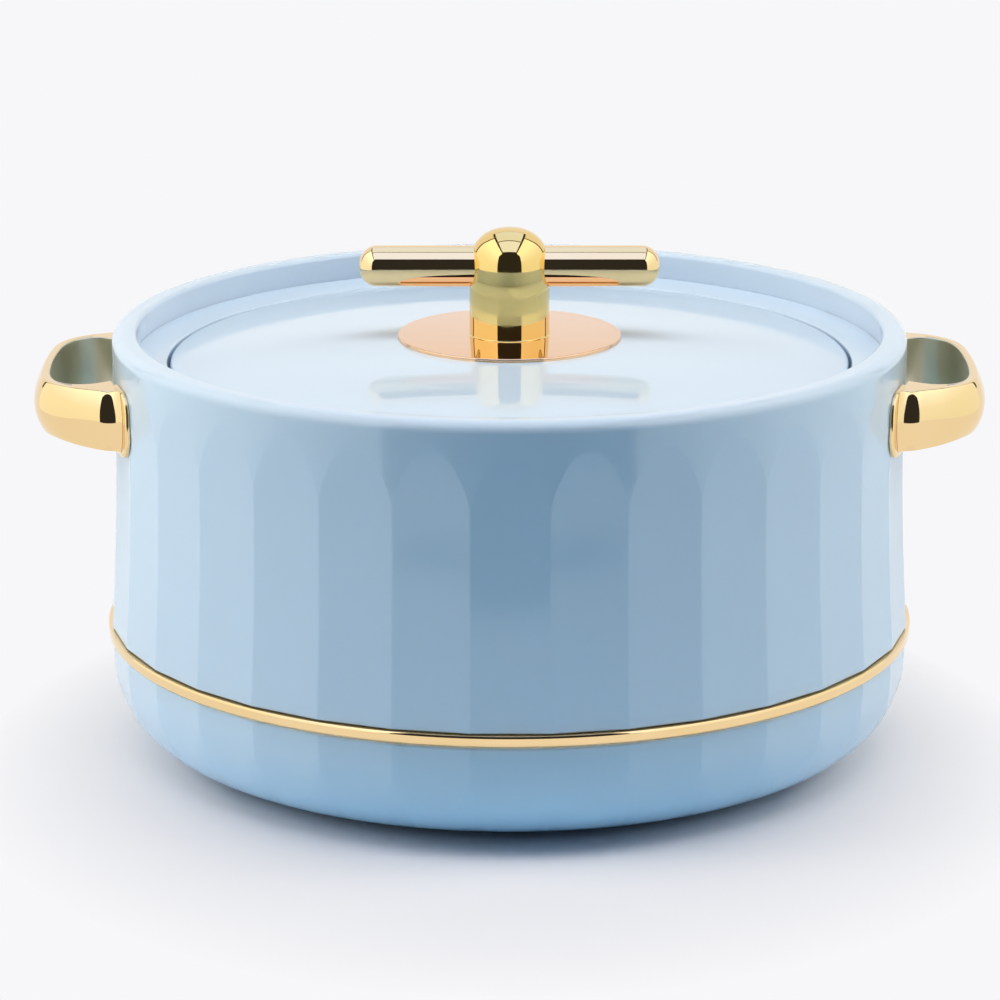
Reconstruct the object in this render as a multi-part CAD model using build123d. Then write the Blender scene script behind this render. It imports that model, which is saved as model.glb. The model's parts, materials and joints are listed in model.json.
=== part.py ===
from build123d import *
import os
from math import asin, cos, degrees, pi, radians, sin, sqrt, tan

# Insulated casserole for flat breads: faceted double-walled body, steel bowl, gold band and
# loop handles, and a domed lift-off lid with a cross-bar grip.
# Millimetres, +Z up. Origin: centre of the foot, on the surface that the casserole stands on.

# ---------------------------------------------------------------- driving dimensions
# Clearances
fit_gap = 0.3            # between parts that are assembled and never move
run_gap = 0.05           # between parts that slide or turn on each other
lid_gap = 0.9            # open gap seen all round the lid
shadow_gap = 0.3         # groove above and below the gold band
screw_gap = 0.25         # a screw's shank in a through hole
thread_gap = 0.05        # a screw's shank in its tapped hole

# Body
rim_r = 121.8            # outer radius at the rim
rim_z = 128.8            # height of the rim
side_flare = 2.2         # how much wider the side is at the gold band
upright_side = 23.8      # height of the side's upright part, below the rim
rim_width = 7.8          # from the outside to the mouth
rim_round = 3.4          # rounding of the rim's outer edge
mouth_round = 1.0
mouth_flare = 1.2        # how much wider the mouth is at the ledge
mouth_depth = 8.6        # from the rim down to the ledge
shell_wall = 2.5
skirt_wall = 2.2
skirt_lap = 2.8          # how far the wall inside the rim reaches below the ledge

# Facets
facet_count = 34
facet_relief = 0.12      # how far the facets' shared edges lie inside the round side
facet_top_drop = 8.3     # from the rim down to the tops of the facets' arches
facet_arch = 30.5        # height of those arches
foot_facet_end_z = 6.0   # height where the facets fade out on the foot

# Gold band
band_z = 36.0            # height of the band's middle
band_height = 3.2
band_proud = 1.0         # how far it stands out from the side
band_round = 0.6

# Foot
base_z = 1.0             # height of the foot's plastic floor
foot_round = 30.0        # width of the foot's rounding, in plan
foot_fullness = 0.78     # 1 is an ellipse, less is fuller
foot_wall = 3.0
spigot_wall = 2.3        # wall of the ring that plugs into the upper shell
spigot_height = 12.0
bead_size = 0.6          # snap beads

# Anti-slip ring and foam port
ring_inset = 8.0         # from the edge of the flat floor to the ring's middle
ring_width = 6.0
ring_depth = 1.6
port_r = 9.0
port_lip = 3.0
port_lip_depth = 1.4
port_stem = 2.6

# Lid seat
ledge_width = 10.2
ledge_drop = 1.3         # how much the ledge falls towards the lid
ledge_round = 0.6
seat_depth = 12.9        # from the ledge's inner edge down to the bowl's shelf
seat_wall = 2.5
flange_height = 2.5

# Bowl
bowl_wall = 0.8
shelf_width = 6.0        # from the lid's seat to the bowl's inside
bowl_taper = 1.6         # how much narrower the bowl is at its floor
floor_foam = 21.0        # foam under the bowl, with its clearances
bowl_corner = 13.0
bowl_lip_round = 2.0
bowl_flange_gap = 0.5

# Foam
foam_top_drop = 4.0      # below the lid seat

# Handles
handle_stand = 22.7      # from the body to the outer face's upper and lower edges
handle_crown = 1.0       # how far the outer face bulges at mid height
handle_half = 38.0       # half its length along Y
handle_corner = 21.0
handle_thin = 4.1        # thickness at the bulge
handle_thick = 7.0       # thickness at the ends
handle_inner_corner = 12.0
handle_height = 18.0
handle_drop = 20.6       # from the rim down to the handle's middle
handle_edge = 1.2
rosette_thick = 1.3
rosette_width = 21.0
rosette_height = 20.6
rosette_corner = 7.0
rosette_edge = 0.8

# Handle screws
handle_screw_r = 1.95
handle_screw_depth = 8.0     # thread engaged in the handle's end
handle_head_r = 3.6
handle_head = 2.6
handle_washer_r = 5.5
handle_washer = 1.0
boss_r = 6.5
boss_seat = 1.0              # flat seat, inside the wall's nearest point

# Lid
lid_rise = 6.6
lid_edge_round = 1.0
lid_wall = 2.5
lid_skirt = 2.2
liner_wall = 0.8
liner_drop = 4.1             # depth of the liner's pan below its flange
liner_slope = 2.8            # how much narrower the pan is at its bottom
seal_width = 4.3
seal_lip = 2.6               # silicone outside the liner's flange
seal_land = 1.8              # silicone below the liner's flange
seal_top = 1.5               # silicone above it
seal_step = 1.6              # from the seal in to the liner's pan
boss_lid_r = 9.0

# Grip
disc_r = 34.3
disc_thick = 1.5
disc_proud = 0.4             # above the dome's crown
disc_edge = 0.4
post_r = 12.0
post_height = 21.2           # straight part, above the disc
bar_r = 6.3
bar_length = 91.8
bar_drop = 0.1               # bar's axis below the dome's centre
bar_end_round = 4.2
knob_screw_r = 2.45
knob_screw_engage = 9.0
knob_head_r = 4.75
knob_head = 3.0
knob_washer_r = 8.0
knob_washer = 1.0
set_screw_length = 5.0

# ---------------------------------------------------------------- worked out from them
foot_r = rim_r + side_flare
flare_z = rim_z - upright_side
facet_angle = pi / facet_count
facet_apex_z = rim_z - facet_top_drop
facet_spring_z = facet_apex_z - facet_arch
band_bottom_z = band_z - band_height / 2
band_top_z = band_z + band_height / 2
side_z = band_top_z + shadow_gap
foot_top_z = band_bottom_z - shadow_gap
base_flat_r = foot_r - foot_round
ring_mid_r = base_flat_r - ring_inset
spigot_top_z = band_top_z + spigot_height
spigot_share = (flare_z - spigot_top_z) / (flare_z - side_z)
spigot_r = rim_r + side_flare * spigot_share**2 - shell_wall - fit_gap

mouth_r = rim_r - rim_width
ledge_z = rim_z - mouth_depth
ledge_r = mouth_r + mouth_flare
skirt_z = ledge_z - skirt_lap
skirt_r = mouth_r + mouth_flare * (rim_z - skirt_z) / mouth_depth
lid_edge_z = ledge_z - ledge_drop
seat_r = ledge_r - ledge_width
shelf_z = lid_edge_z - seat_depth
seat_bottom_z = shelf_z - seat_wall
seat_outer_r = seat_r + seat_wall
flange_r = rim_r - shell_wall - fit_gap

bowl_r = seat_r - shelf_width
bowl_flange_r = seat_r - bowl_flange_gap
bowl_top_z = shelf_z + bowl_wall
bowl_floor_z = base_z + foot_wall + floor_foam + bowl_wall
bowl_floor_r = bowl_r - bowl_taper
shelf_r = bowl_r + bowl_wall + fit_gap
foam_top_z = seat_bottom_z - foam_top_drop

lid_r = seat_r - lid_gap
seal_z = bowl_top_z + fit_gap
liner_z = seal_z + seal_land
seal_top_z = liner_z + liner_wall + seal_top
seal_r = seat_r - fit_gap
seal_in_r = seal_r - seal_width
liner_flange_r = seal_r - seal_lip
liner_pan_top_r = seal_in_r - seal_step
liner_pan_r = liner_pan_top_r - liner_slope
lid_skirt_z = seal_top_z + fit_gap
pan_z = liner_z - liner_drop
lid_crown_z = lid_edge_z + lid_rise
disc_top_z = lid_crown_z + disc_proud
disc_z = disc_top_z - disc_thick
post_top_z = disc_top_z + post_height
bar_z = post_top_z - bar_drop
knob_thread_top_z = disc_top_z + knob_screw_engage

handle_z = rim_z - handle_drop
handle_reach = rim_r + handle_stand
handle_blank_x = rim_r - 2 * handle_corner
handle_seat_r = rim_r + fit_gap / 2
rosette_r = handle_seat_r + rosette_thick
handle_screw_y = handle_half - handle_thick / 2
wall_inner_r = rim_r - shell_wall
boss_x = sqrt(wall_inner_r**2 - (handle_screw_y + boss_r) ** 2) - boss_seat
handle_root_x = sqrt(rosette_r**2 - handle_screw_y**2)
handle_thread_x = handle_root_x + handle_screw_depth


# ---------------------------------------------------------------- helpers
def turned(*edges):
    """Solid of revolution about Z of a closed outline drawn as (radius, height)."""
    return revolve(Plane.XZ * make_face(list(edges)), Axis.Z)


def outline(*points):
    """Closed polygon of (radius, height) points, as a sketch."""
    return make_face(Polyline(*points, close=True))


def spun(sketch):
    """Solid of revolution about Z of a sketch drawn as (radius, height)."""
    return revolve(Plane.XZ * sketch, Axis.Z)


def ring(inner_r, outer_r, low_z, high_z):
    """Plain ring of rectangular section; a disc where the inner radius is 0."""
    return spun(outline((inner_r, low_z), (outer_r, low_z), (outer_r, high_z), (inner_r, high_z)))


def corner(sketch, r, z, radius):
    """Rounds the sketch's corner nearest to (r, z)."""
    point = min(sketch.vertices(), key=lambda v: (v.X - r) ** 2 + (v.Y - z) ** 2)
    return fillet(point, radius)


def bead(r, z, size):
    """Snap bead: a small round ridge that runs all the way round at radius r."""
    return spun(Pos(r, z) * Circle(size))


def rod_x(r, start_x, end_x, y, z):
    """Round bar along X."""
    return Pos(start_x, y, z) * extrude(Plane.YZ * Circle(r), end_x - start_x)


def rod_z(r, low_z, high_z):
    """Round bar on the Z axis."""
    return Pos(0, 0, low_z) * extrude(Circle(r), high_z - low_z)


def side_r(z):
    """Radius of the round side at a height: a flare that starts upright at flare_z."""
    drop = max(0.0, flare_z - z) / (flare_z - side_z)
    return rim_r + side_flare * drop**2


def foot_curve(t, flat_r, half_width, top_z, depth):
    """Point of the foot's full, rounded profile; t runs from 0 at the top to 1 at the floor."""
    angle = radians(90) * t
    return (
        flat_r + half_width * max(0.0, cos(angle)) ** foot_fullness,
        top_z - depth * sin(angle) ** foot_fullness,
    )


def foot_points(flat_r, half_width, top_z, depth, count=9):
    """Points down the foot's profile, closer together near its ends."""
    steps = [(1 - cos(pi * i / (count - 1))) / 2 for i in range(count)]
    return [foot_curve(t, flat_r, half_width, top_z, depth) for t in steps]


# ---------------------------------------------------------------- facets
def facet_cutters(points):
    """One flat-faced cutter for each facet; points trace the facet's face as (radius, height)."""
    (r0, z0), (r1, z1) = points[0], points[-1]
    far_r = foot_r + 3 * band_proud + 5
    face = make_face([Spline(*points), Polyline((r1, z1), (far_r, z1), (far_r, z0), (r0, z0))])
    half_width = 1.3 * foot_r * tan(facet_angle)
    cutter = extrude(Plane.XZ * face, half_width, both=True)
    return [Rot(0, 0, place) * cutter for place in facet_places()]


def facet_places():
    """Angles of the facets' middles, one of them at the front."""
    return [-90 + degrees(2 * facet_angle) * i for i in range(facet_count)]


def side_facet_points():
    """Down the side a facet is a chord of the round wall; its top curves out to an arch."""
    depth = side_r(facet_spring_z) - (side_r(facet_spring_z) - facet_relief) * cos(facet_angle)
    points = []
    for share in [-0.04, 0.23, 0.5, 0.77, 1.0]:
        z = side_z + (facet_spring_z - side_z) * share
        points.append(((side_r(z) - facet_relief) * cos(facet_angle), z))
    for share in [0.25, 0.5, 0.75, 1.0, 1.15]:
        z = facet_spring_z + facet_arch * share
        points.append((side_r(z) - depth * (1 - share**2), z))
    return points


def foot_facet_points():
    """Down the foot a facet follows the rounded profile and fades out near the floor."""
    points = [((foot_r - facet_relief) * cos(facet_angle), foot_top_z + 2)]
    count = 9
    depth = foot_top_z - base_z
    fade = foot_top_z - foot_facet_end_z
    for i in range(count):
        t = 0.8 * i / (count - 1)
        r, z = foot_curve(t, base_flat_r, foot_r - base_flat_r, foot_top_z, depth)
        kept = max(0.0, 1 - ((foot_top_z - z) / fade) ** 2)
        inset = r - (r - facet_relief) * cos(facet_angle)
        over = (1 - kept) * facet_relief * 2
        points.append((r - inset * kept + over, z))
    return points


# ---------------------------------------------------------------- body
def make_upper_shell():
    """Faceted outer wall, rounded rim and the wall inside it, with seats for the handle screws."""
    inside_foot = foot_r - shell_wall
    edges = [
        TangentArc((rim_r, flare_z), (foot_r, side_z), tangent=(0, -1)),
        TangentArc((wall_inner_r, flare_z), (inside_foot, side_z), tangent=(0, -1)),
        Line((foot_r, side_z), (inside_foot, side_z)),
        Polyline(
            (rim_r, flare_z),
            (rim_r, rim_z),
            (mouth_r, rim_z),
            (skirt_r, skirt_z),
            (skirt_r + skirt_wall, skirt_z),
            (mouth_r + skirt_wall, rim_z - shell_wall),
            (wall_inner_r, rim_z - shell_wall),
            (wall_inner_r, flare_z),
        ),
    ]
    section = make_face(edges)
    section = corner(section, rim_r, rim_z, rim_round)
    section = corner(section, mouth_r, rim_z, mouth_round)
    shell = spun(section) - facet_cutters(side_facet_points())
    shell -= bead(spigot_r, spigot_top_z - 2, bead_size + 2 * run_gap + 0.3)
    return shell + handle_bosses() - handle_screw_holes()


def handle_bosses():
    """Pads inside the wall with a flat seat for each handle screw's washer."""
    inside = rod_z(rim_r - shell_wall / 2, shelf_z - 20, rim_z)
    pads = [
        rod_x(boss_r, side * boss_x, side * rim_r, y, handle_z) for side, y in handle_ends()
    ]
    return [pad & inside for pad in pads]


def handle_ends():
    """Side (-1 left, 1 right) and Y of the four handle ends."""
    return [(side, y) for side in (-1, 1) for y in (-handle_screw_y, handle_screw_y)]


def handle_screw_holes():
    """Clearance holes for the handle screws, parallel to X."""
    r = handle_screw_r + screw_gap
    return [rod_x(r, side * (boss_x - 5), side * (rim_r + 5), y, handle_z) for side, y in handle_ends()]


def make_lower_shell():
    """Rounded foot with its floor, and the ring that plugs into the upper shell."""
    outer = foot_points(base_flat_r, foot_r - base_flat_r, foot_top_z, foot_top_z - base_z)
    inner_z = base_z + foot_wall
    inner_r = spigot_r - spigot_wall
    inner = foot_points(base_flat_r, inner_r - base_flat_r, foot_top_z, foot_top_z - inner_z)
    edges = [
        Spline(*outer, tangents=((0, -1), (-1, 0))),
        Polyline(outer[-1], (0, base_z), (0, inner_z), inner[-1]),
        Spline(*inner, tangents=((0, -1), (-1, 0))),
        Polyline(
            inner[0],
            (inner_r, spigot_top_z),
            (spigot_r, spigot_top_z),
            (spigot_r, foot_top_z),
            outer[0],
        ),
    ]
    shell = turned(*edges) - facet_cutters(foot_facet_points())
    shell += bead(spigot_r, spigot_top_z - 2, bead_size + fit_gap)
    groove_r = ring_mid_r - ring_width / 2
    shell -= ring(groove_r, groove_r + ring_width, base_z - 1, base_z + ring_depth)
    shell -= rod_z(port_r, base_z - 1, inner_z + 1)
    return shell - rod_z(port_r + port_lip, base_z - 1, base_z + port_lip_depth)


def make_trim_band():
    """Gold band, gripped between the shells round the plug ring."""
    inner_r = spigot_r + fit_gap
    outer_r = foot_r + band_proud
    section = outline(
        (inner_r, band_bottom_z), (outer_r, band_bottom_z), (outer_r, band_top_z), (inner_r, band_top_z)
    )
    section = corner(section, outer_r, band_bottom_z, band_round)
    section = corner(section, outer_r, band_top_z, band_round)
    return spun(section)


def make_base_ring():
    """Soft anti-slip ring in its groove; it carries the casserole."""
    inner_r = ring_mid_r - ring_width / 2 + run_gap
    outer_r = inner_r + ring_width - 2 * run_gap
    section = outline(
        (inner_r, 0), (outer_r, 0), (outer_r, base_z + ring_depth), (inner_r, base_z + ring_depth)
    )
    section = corner(section, inner_r, 0, 0.5)
    return spun(corner(section, outer_r, 0, 0.5))


def make_foam_port_plug():
    """Plug in the floor, with a lip that lies in a recess."""
    lip = rod_z(port_r + port_lip - run_gap, base_z, base_z + port_lip_depth)
    return lip + rod_z(port_r - run_gap, base_z, base_z + port_lip_depth + port_stem)


def make_lid_seat_ring():
    """Sloping ledge, the lid's round seat, the bowl's shelf and the flange under the rim's wall."""
    section = outline(
        (ledge_r - run_gap, ledge_z),
        (seat_r, lid_edge_z),
        (seat_r, shelf_z),
        (shelf_r, shelf_z),
        (shelf_r, seat_bottom_z),
        (seat_outer_r, seat_bottom_z),
        (seat_outer_r, skirt_z - flange_height),
        (flange_r, skirt_z - flange_height),
        (flange_r, skirt_z),
        (skirt_r - run_gap, skirt_z),
    )
    section = corner(section, shelf_r, shelf_z, bowl_lip_round - bowl_wall + fit_gap)
    return spun(corner(section, seat_r, lid_edge_z, ledge_round))


def make_inner_bowl():
    """Steel bowl with a rounded floor corner and a flat flange on the shelf."""
    outer_floor_z = bowl_floor_z - bowl_wall
    section = outline(
        (0, bowl_floor_z),
        (bowl_floor_r, bowl_floor_z),
        (bowl_r, bowl_top_z),
        (bowl_flange_r, bowl_top_z),
        (bowl_flange_r, shelf_z),
        (bowl_r + bowl_wall, shelf_z),
        (bowl_floor_r + bowl_wall, outer_floor_z),
        (0, outer_floor_z),
    )
    section = corner(section, bowl_floor_r, bowl_floor_z, bowl_corner)
    section = corner(section, bowl_floor_r + bowl_wall, outer_floor_z, bowl_corner + bowl_wall)
    section = corner(section, bowl_r, bowl_top_z, bowl_lip_round)
    section = corner(section, bowl_r + bowl_wall, shelf_z, bowl_lip_round - bowl_wall)
    return spun(section)


def make_body_insulation():
    """Foam jacket round the bowl, inside both shells."""
    outer_r = spigot_r - spigot_wall - fit_gap
    floor_z = base_z + foot_wall + fit_gap
    inner = foot_points(base_flat_r, outer_r - base_flat_r, foot_top_z, foot_top_z - floor_z)
    jacket = turned(
        Spline(*inner, tangents=((0, -1), (-1, 0))),
        Polyline(inner[-1], (0, floor_z), (0, foam_top_z), (outer_r, foam_top_z), inner[0]),
    )
    room_r = bowl_r + bowl_wall + fit_gap
    room_floor_z = bowl_floor_z - bowl_wall - fit_gap
    room_low_r = room_r - bowl_taper
    room = outline((0, room_floor_z), (room_low_r, room_floor_z), (room_r, bowl_top_z), (0, bowl_top_z))
    room = corner(room, room_low_r, room_floor_z, bowl_corner + bowl_wall)
    plug_room = rod_z(port_r + fit_gap, base_z, base_z + port_lip_depth + port_stem + fit_gap)
    return jacket - spun(room) - plug_room


# ---------------------------------------------------------------- handles
def handle_outline(reach, half, round_r):
    """Closed D-shaped plan: straight sides along X, round corners and a side round the Z axis."""
    corner_y = half - round_r
    corner_x = sqrt((reach - round_r) ** 2 - corner_y**2)
    lean = asin(corner_y / (reach - round_r))
    meet = (reach * cos(lean), reach * sin(lean))
    half_turn = (lean + pi / 2) / 2
    middle = (corner_x + round_r * cos(half_turn), corner_y + round_r * sin(half_turn))
    start = (handle_blank_x, half)
    return [
        Line(start, (corner_x, half)),
        ThreePointArc((corner_x, half), middle, meet),
        ThreePointArc(meet, (reach, 0), (meet[0], -meet[1])),
        ThreePointArc((meet[0], -meet[1]), (middle[0], -middle[1]), (corner_x, -half)),
        Line((corner_x, -half), (start[0], -half)),
    ]


def handle_plan(reach, half, round_r):
    """The D-shaped plan as a face."""
    edges = handle_outline(reach, half, round_r)
    return make_face(edges + [Line((handle_blank_x, -half), (handle_blank_x, half))])


def handle_crown_band():
    """Bulging skin on the handle's outer face, carried along its outline."""
    path = Wire(handle_outline(handle_reach, handle_half, handle_corner))
    top = handle_height / 2
    skin = handle_thin / 2
    bulge = make_face(
        [
            ThreePointArc((0, top), (handle_crown, 0), (0, -top)),
            Polyline((0, -top), (-skin, -top), (-skin, top), (0, top)),
        ]
    )
    start = Plane(origin=path @ 0, x_dir=(0, 1, 0), z_dir=(1, 0, 0))
    return sweep(start * bulge, path)


def make_handle():
    """Right-hand loop handle: thin at the bulge, thick at its ends, crowned on the outside."""
    block = handle_plan(handle_reach, handle_half, handle_corner)
    gap = handle_plan(
        handle_reach - handle_thin, handle_half - handle_thick, handle_inner_corner
    )
    loop = Pos(0, 0, -handle_height / 2) * extrude(block - gap, handle_height)
    loop += handle_crown_band()
    loop -= rod_z(rosette_r + run_gap, -handle_height, handle_height)
    loop = fillet(outer_rims(loop), handle_edge)
    for y in (-handle_screw_y, handle_screw_y):
        loop -= rod_x(handle_screw_r + thread_gap, rim_r - 20, handle_thread_x, y, 0)
    return Pos(0, 0, handle_z) * loop


def outer_rims(loop):
    """The handle's long outer edges, at its top and bottom."""
    top = handle_height / 2
    edges = []
    for edge in loop.edges():
        centre = edge @ 0.5
        flat = abs(abs(centre.Z) - top) < 0.01 and abs(abs((edge @ 0).Z) - top) < 0.01
        along = abs(centre.Y) > handle_half - 0.6 or sqrt(centre.X**2 + centre.Y**2) > handle_reach - 0.6
        corner_x = sqrt((handle_reach - handle_corner) ** 2 - (handle_half - handle_corner) ** 2)
        from_corner = sqrt((centre.X - corner_x) ** 2 + (abs(centre.Y) - handle_half + handle_corner) ** 2)
        if flat and (along or abs(from_corner - handle_corner) < 0.6):
            edges.append(edge)
    return edges


def make_rosettes():
    """Right-hand pair of plates, curved to the body, under the handle's ends."""
    lean = degrees(asin(handle_screw_y / rosette_r))
    shape = RectangleRounded(rosette_width, rosette_height, rosette_corner)
    low = handle_z - rosette_height
    skin = ring(handle_seat_r, rosette_r, low, low + 2 * rosette_height)
    plates = []
    for turn in (-lean, lean):
        blank = Rot(0, 0, turn) * (Pos(0, 0, handle_z) * extrude(Plane.YZ * shape, rosette_r + 5))
        plate = blank & skin
        rims = [e for e in plate.edges() if (e @ 0.5).X ** 2 + (e @ 0.5).Y ** 2 > (rosette_r - 0.05) ** 2]
        plate = fillet(rims, rosette_edge)
        y = handle_screw_y if turn > 0 else -handle_screw_y
        plates.append(plate - rod_x(handle_screw_r + screw_gap, 0, rosette_r + 5, y, handle_z))
    return plates


def make_handle_screws():
    """Right-hand pair of pan-head screws, from inside the shell into the handle's ends."""
    seat_x = boss_x - handle_washer
    tip_x = handle_thread_x - 2 * thread_gap - 0.5
    screws = []
    for y in (-handle_screw_y, handle_screw_y):
        head = rod_x(handle_head_r, seat_x - handle_head, seat_x, y, handle_z)
        head = fillet(head.edges().group_by(Axis.X)[0], 0.8)
        screw = head + rod_x(handle_screw_r, seat_x, tip_x, y, handle_z)
        slot = Pos(seat_x - handle_head, y, handle_z) * Box(2, 1, 5)
        screws.append(screw - slot - Pos(seat_x - handle_head, y, handle_z) * Box(2, 5, 1))
    return screws


def make_handle_washers():
    """Right-hand pair of washers on the wall's flat seats."""
    washers = []
    for y in (-handle_screw_y, handle_screw_y):
        disc = rod_x(handle_washer_r, boss_x - handle_washer, boss_x, y, handle_z)
        washers.append(disc - rod_x(handle_screw_r + screw_gap, 0, rim_r, y, handle_z))
    return washers


# ---------------------------------------------------------------- lid
def dome_arc(drop, r):
    """Arc of the dome, lowered by drop, from its crown out to radius r."""
    ball = (lid_r**2 + lid_rise**2) / (2 * lid_rise) - drop
    centre_z = lid_crown_z - drop - ball
    half = asin(r / ball) / 2
    edge = (r, centre_z + sqrt(ball**2 - r**2))
    middle = (ball * sin(half), centre_z + ball * cos(half))
    return ThreePointArc((0, lid_crown_z - drop), middle, edge), edge


def make_lid_top():
    """Domed lid with its skirt, the disc's recess and the boss that the grip's screw runs through."""
    outer, edge = dome_arc(0, lid_r)
    inner, inner_edge = dome_arc(lid_wall, lid_r - lid_skirt)
    section = make_face(
        [
            outer,
            Polyline(edge, (lid_r, lid_skirt_z), (lid_r - lid_skirt, lid_skirt_z), inner_edge),
            inner,
            Line((0, lid_crown_z - lid_wall), (0, lid_crown_z)),
        ]
    )
    section = corner(section, lid_r, edge[1], lid_edge_round)
    lid = spun(section)
    lid += rod_z(boss_lid_r, pan_z + liner_wall, lid_crown_z - lid_wall / 2)
    lid -= rod_z(disc_r + run_gap, disc_z, lid_crown_z + 1)
    return lid - rod_z(knob_screw_r + screw_gap, pan_z, lid_crown_z)


def make_lid_liner():
    """Steel pan under the lid; its flange carries the seal."""
    pan = outline(
        (0, pan_z),
        (liner_pan_r, pan_z),
        (liner_pan_top_r, liner_z),
        (liner_flange_r, liner_z),
        (liner_flange_r, liner_z + liner_wall),
        (liner_pan_top_r - liner_wall, liner_z + liner_wall),
        (liner_pan_r - liner_wall, pan_z + liner_wall),
        (0, pan_z + liner_wall),
    )
    pan = corner(pan, liner_pan_r, pan_z, 2.0)
    return spun(pan) - rod_z(knob_screw_r + screw_gap, pan_z - 1, pan_z + 2)


def make_lid_insulation():
    """Foam disc between the lid and its liner, round the boss."""
    arc, edge = dome_arc(lid_wall + fit_gap, seal_in_r - fit_gap)
    low = liner_z + liner_wall + fit_gap
    pan_r = liner_pan_r - liner_wall - fit_gap
    foam = turned(
        arc,
        Polyline(
            edge,
            (edge[0], low),
            (liner_pan_top_r - liner_wall - fit_gap, low),
            (pan_r, pan_z + liner_wall + fit_gap),
            (0, pan_z + liner_wall + fit_gap),
            arc @ 0,
        ),
    )
    return foam - rod_z(boss_lid_r + fit_gap, pan_z, lid_crown_z)


def make_lid_seal():
    """Silicone ring with a slot that clips over the liner's flange."""
    ring_body = outline(
        (seal_in_r, seal_z), (seal_r, seal_z), (seal_r, seal_top_z), (seal_in_r, seal_top_z)
    )
    ring_body = corner(ring_body, seal_r, seal_z, 0.6)
    ring_body = corner(ring_body, seal_r, seal_top_z, 0.6)
    slot = ring(seal_in_r - 1, liner_flange_r + run_gap, liner_z - run_gap, liner_z + liner_wall + run_gap)
    return spun(ring_body) - slot


# ---------------------------------------------------------------- grip
def make_lid_disc():
    """Thin metal disc in its recess on the dome."""
    disc = rod_z(disc_r, disc_z, disc_top_z)
    disc = fillet(disc.edges().group_by(Axis.Z)[-1], disc_edge)
    return disc - rod_z(knob_screw_r + screw_gap, disc_z - 1, disc_top_z + 1)


def make_knob_post():
    """Round-topped post with the bar's cross hole and a tapped hole from below."""
    post = rod_z(post_r, disc_top_z, post_top_z) + Pos(0, 0, post_top_z) * Sphere(post_r)
    post -= rod_x(bar_r + run_gap, -2 * post_r, 2 * post_r, 0, bar_z)
    return post - rod_z(knob_screw_r + thread_gap, disc_top_z - 1, bar_z)


def make_knob_bar():
    """Cross bar with rounded ends."""
    bar = rod_x(bar_r, -bar_length / 2, bar_length / 2, 0, bar_z)
    ends = bar.edges().group_by(Axis.X)
    return fillet(ends[0] + ends[-1], bar_end_round)


def make_bar_screw():
    """Headless set screw in the post, pressed up against the bar."""
    top = bar_z - bar_r - thread_gap
    screw = rod_z(knob_screw_r, top - set_screw_length, top)
    key = Pos(0, 0, top - set_screw_length) * extrude(RegularPolygon(1.25, 6), 2.5)
    return screw - key


def make_knob_screw():
    """Pan-head screw that clamps the liner, the lid and the disc to the post."""
    seat = pan_z - knob_washer
    head = rod_z(knob_head_r, seat - knob_head, seat)
    head = fillet(head.edges().group_by(Axis.Z)[0], 1.0)
    screw = head + rod_z(knob_screw_r, seat, knob_thread_top_z)
    bottom = Pos(0, 0, seat - knob_head)
    return screw - bottom * Box(6, 1.2, 2.4) - bottom * Box(1.2, 6, 2.4)


def make_knob_washer():
    """Washer under the screw's head."""
    disc = rod_z(knob_washer_r, pan_z - knob_washer, pan_z)
    return disc - rod_z(knob_screw_r + screw_gap, pan_z - 10, pan_z + 1)


# ---------------------------------------------------------------- write the pieces
def left(pieces):
    """The mirror image across the YZ plane, for the left-hand side."""
    return [mirror(piece, Plane.YZ) for piece in pieces]


def write(name, pieces):
    """Writes one node: one solid, or a group of separate ones."""
    solids = [solid for piece in pieces for solid in piece.solids()]
    shape = solids[0] if len(solids) == 1 else Compound(children=solids)
    shape.label = name
    export_step(shape, f"parts/{name}.step")


def main():
    os.makedirs("parts", exist_ok=True)
    handle = make_handle()
    rosettes = make_rosettes()
    handle_screws = make_handle_screws()
    handle_washers = make_handle_washers()
    nodes = {
        "upper_shell": [make_upper_shell()],
        "lower_shell": [make_lower_shell()],
        "trim_band": [make_trim_band()],
        "base_ring": [make_base_ring()],
        "foam_port_plug": [make_foam_port_plug()],
        "lid_seat_ring": [make_lid_seat_ring()],
        "inner_bowl": [make_inner_bowl()],
        "body_insulation": [make_body_insulation()],
        "handle_right": [handle],
        "handle_left": left([handle]),
        "rosettes_right": rosettes,
        "rosettes_left": left(rosettes),
        "handle_screws_right": handle_screws,
        "handle_screws_left": left(handle_screws),
        "handle_washers_right": handle_washers,
        "handle_washers_left": left(handle_washers),
        "lid_top": [make_lid_top()],
        "lid_liner": [make_lid_liner()],
        "lid_insulation": [make_lid_insulation()],
        "lid_seal": [make_lid_seal()],
        "lid_disc": [make_lid_disc()],
        "knob_post": [make_knob_post()],
        "knob_bar": [make_knob_bar()],
        "bar_screw": [make_bar_screw()],
        "knob_screw": [make_knob_screw()],
        "knob_washer": [make_knob_washer()],
    }
    for name, pieces in nodes.items():
        write(name, pieces)


main()
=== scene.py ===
# %% [markdown]
# # An insulated casserole, dressed
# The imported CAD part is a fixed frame: its pieces say where everything sits. This lesson gives
# the pieces that show their final surfaces and finishes: a glossy pale-blue shell with flat
# facets, polished gold trim, and a lid that mirrors its own grip.
# Shapes are worked out in millimetres, as a maker would write them, and stored in metres.

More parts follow.
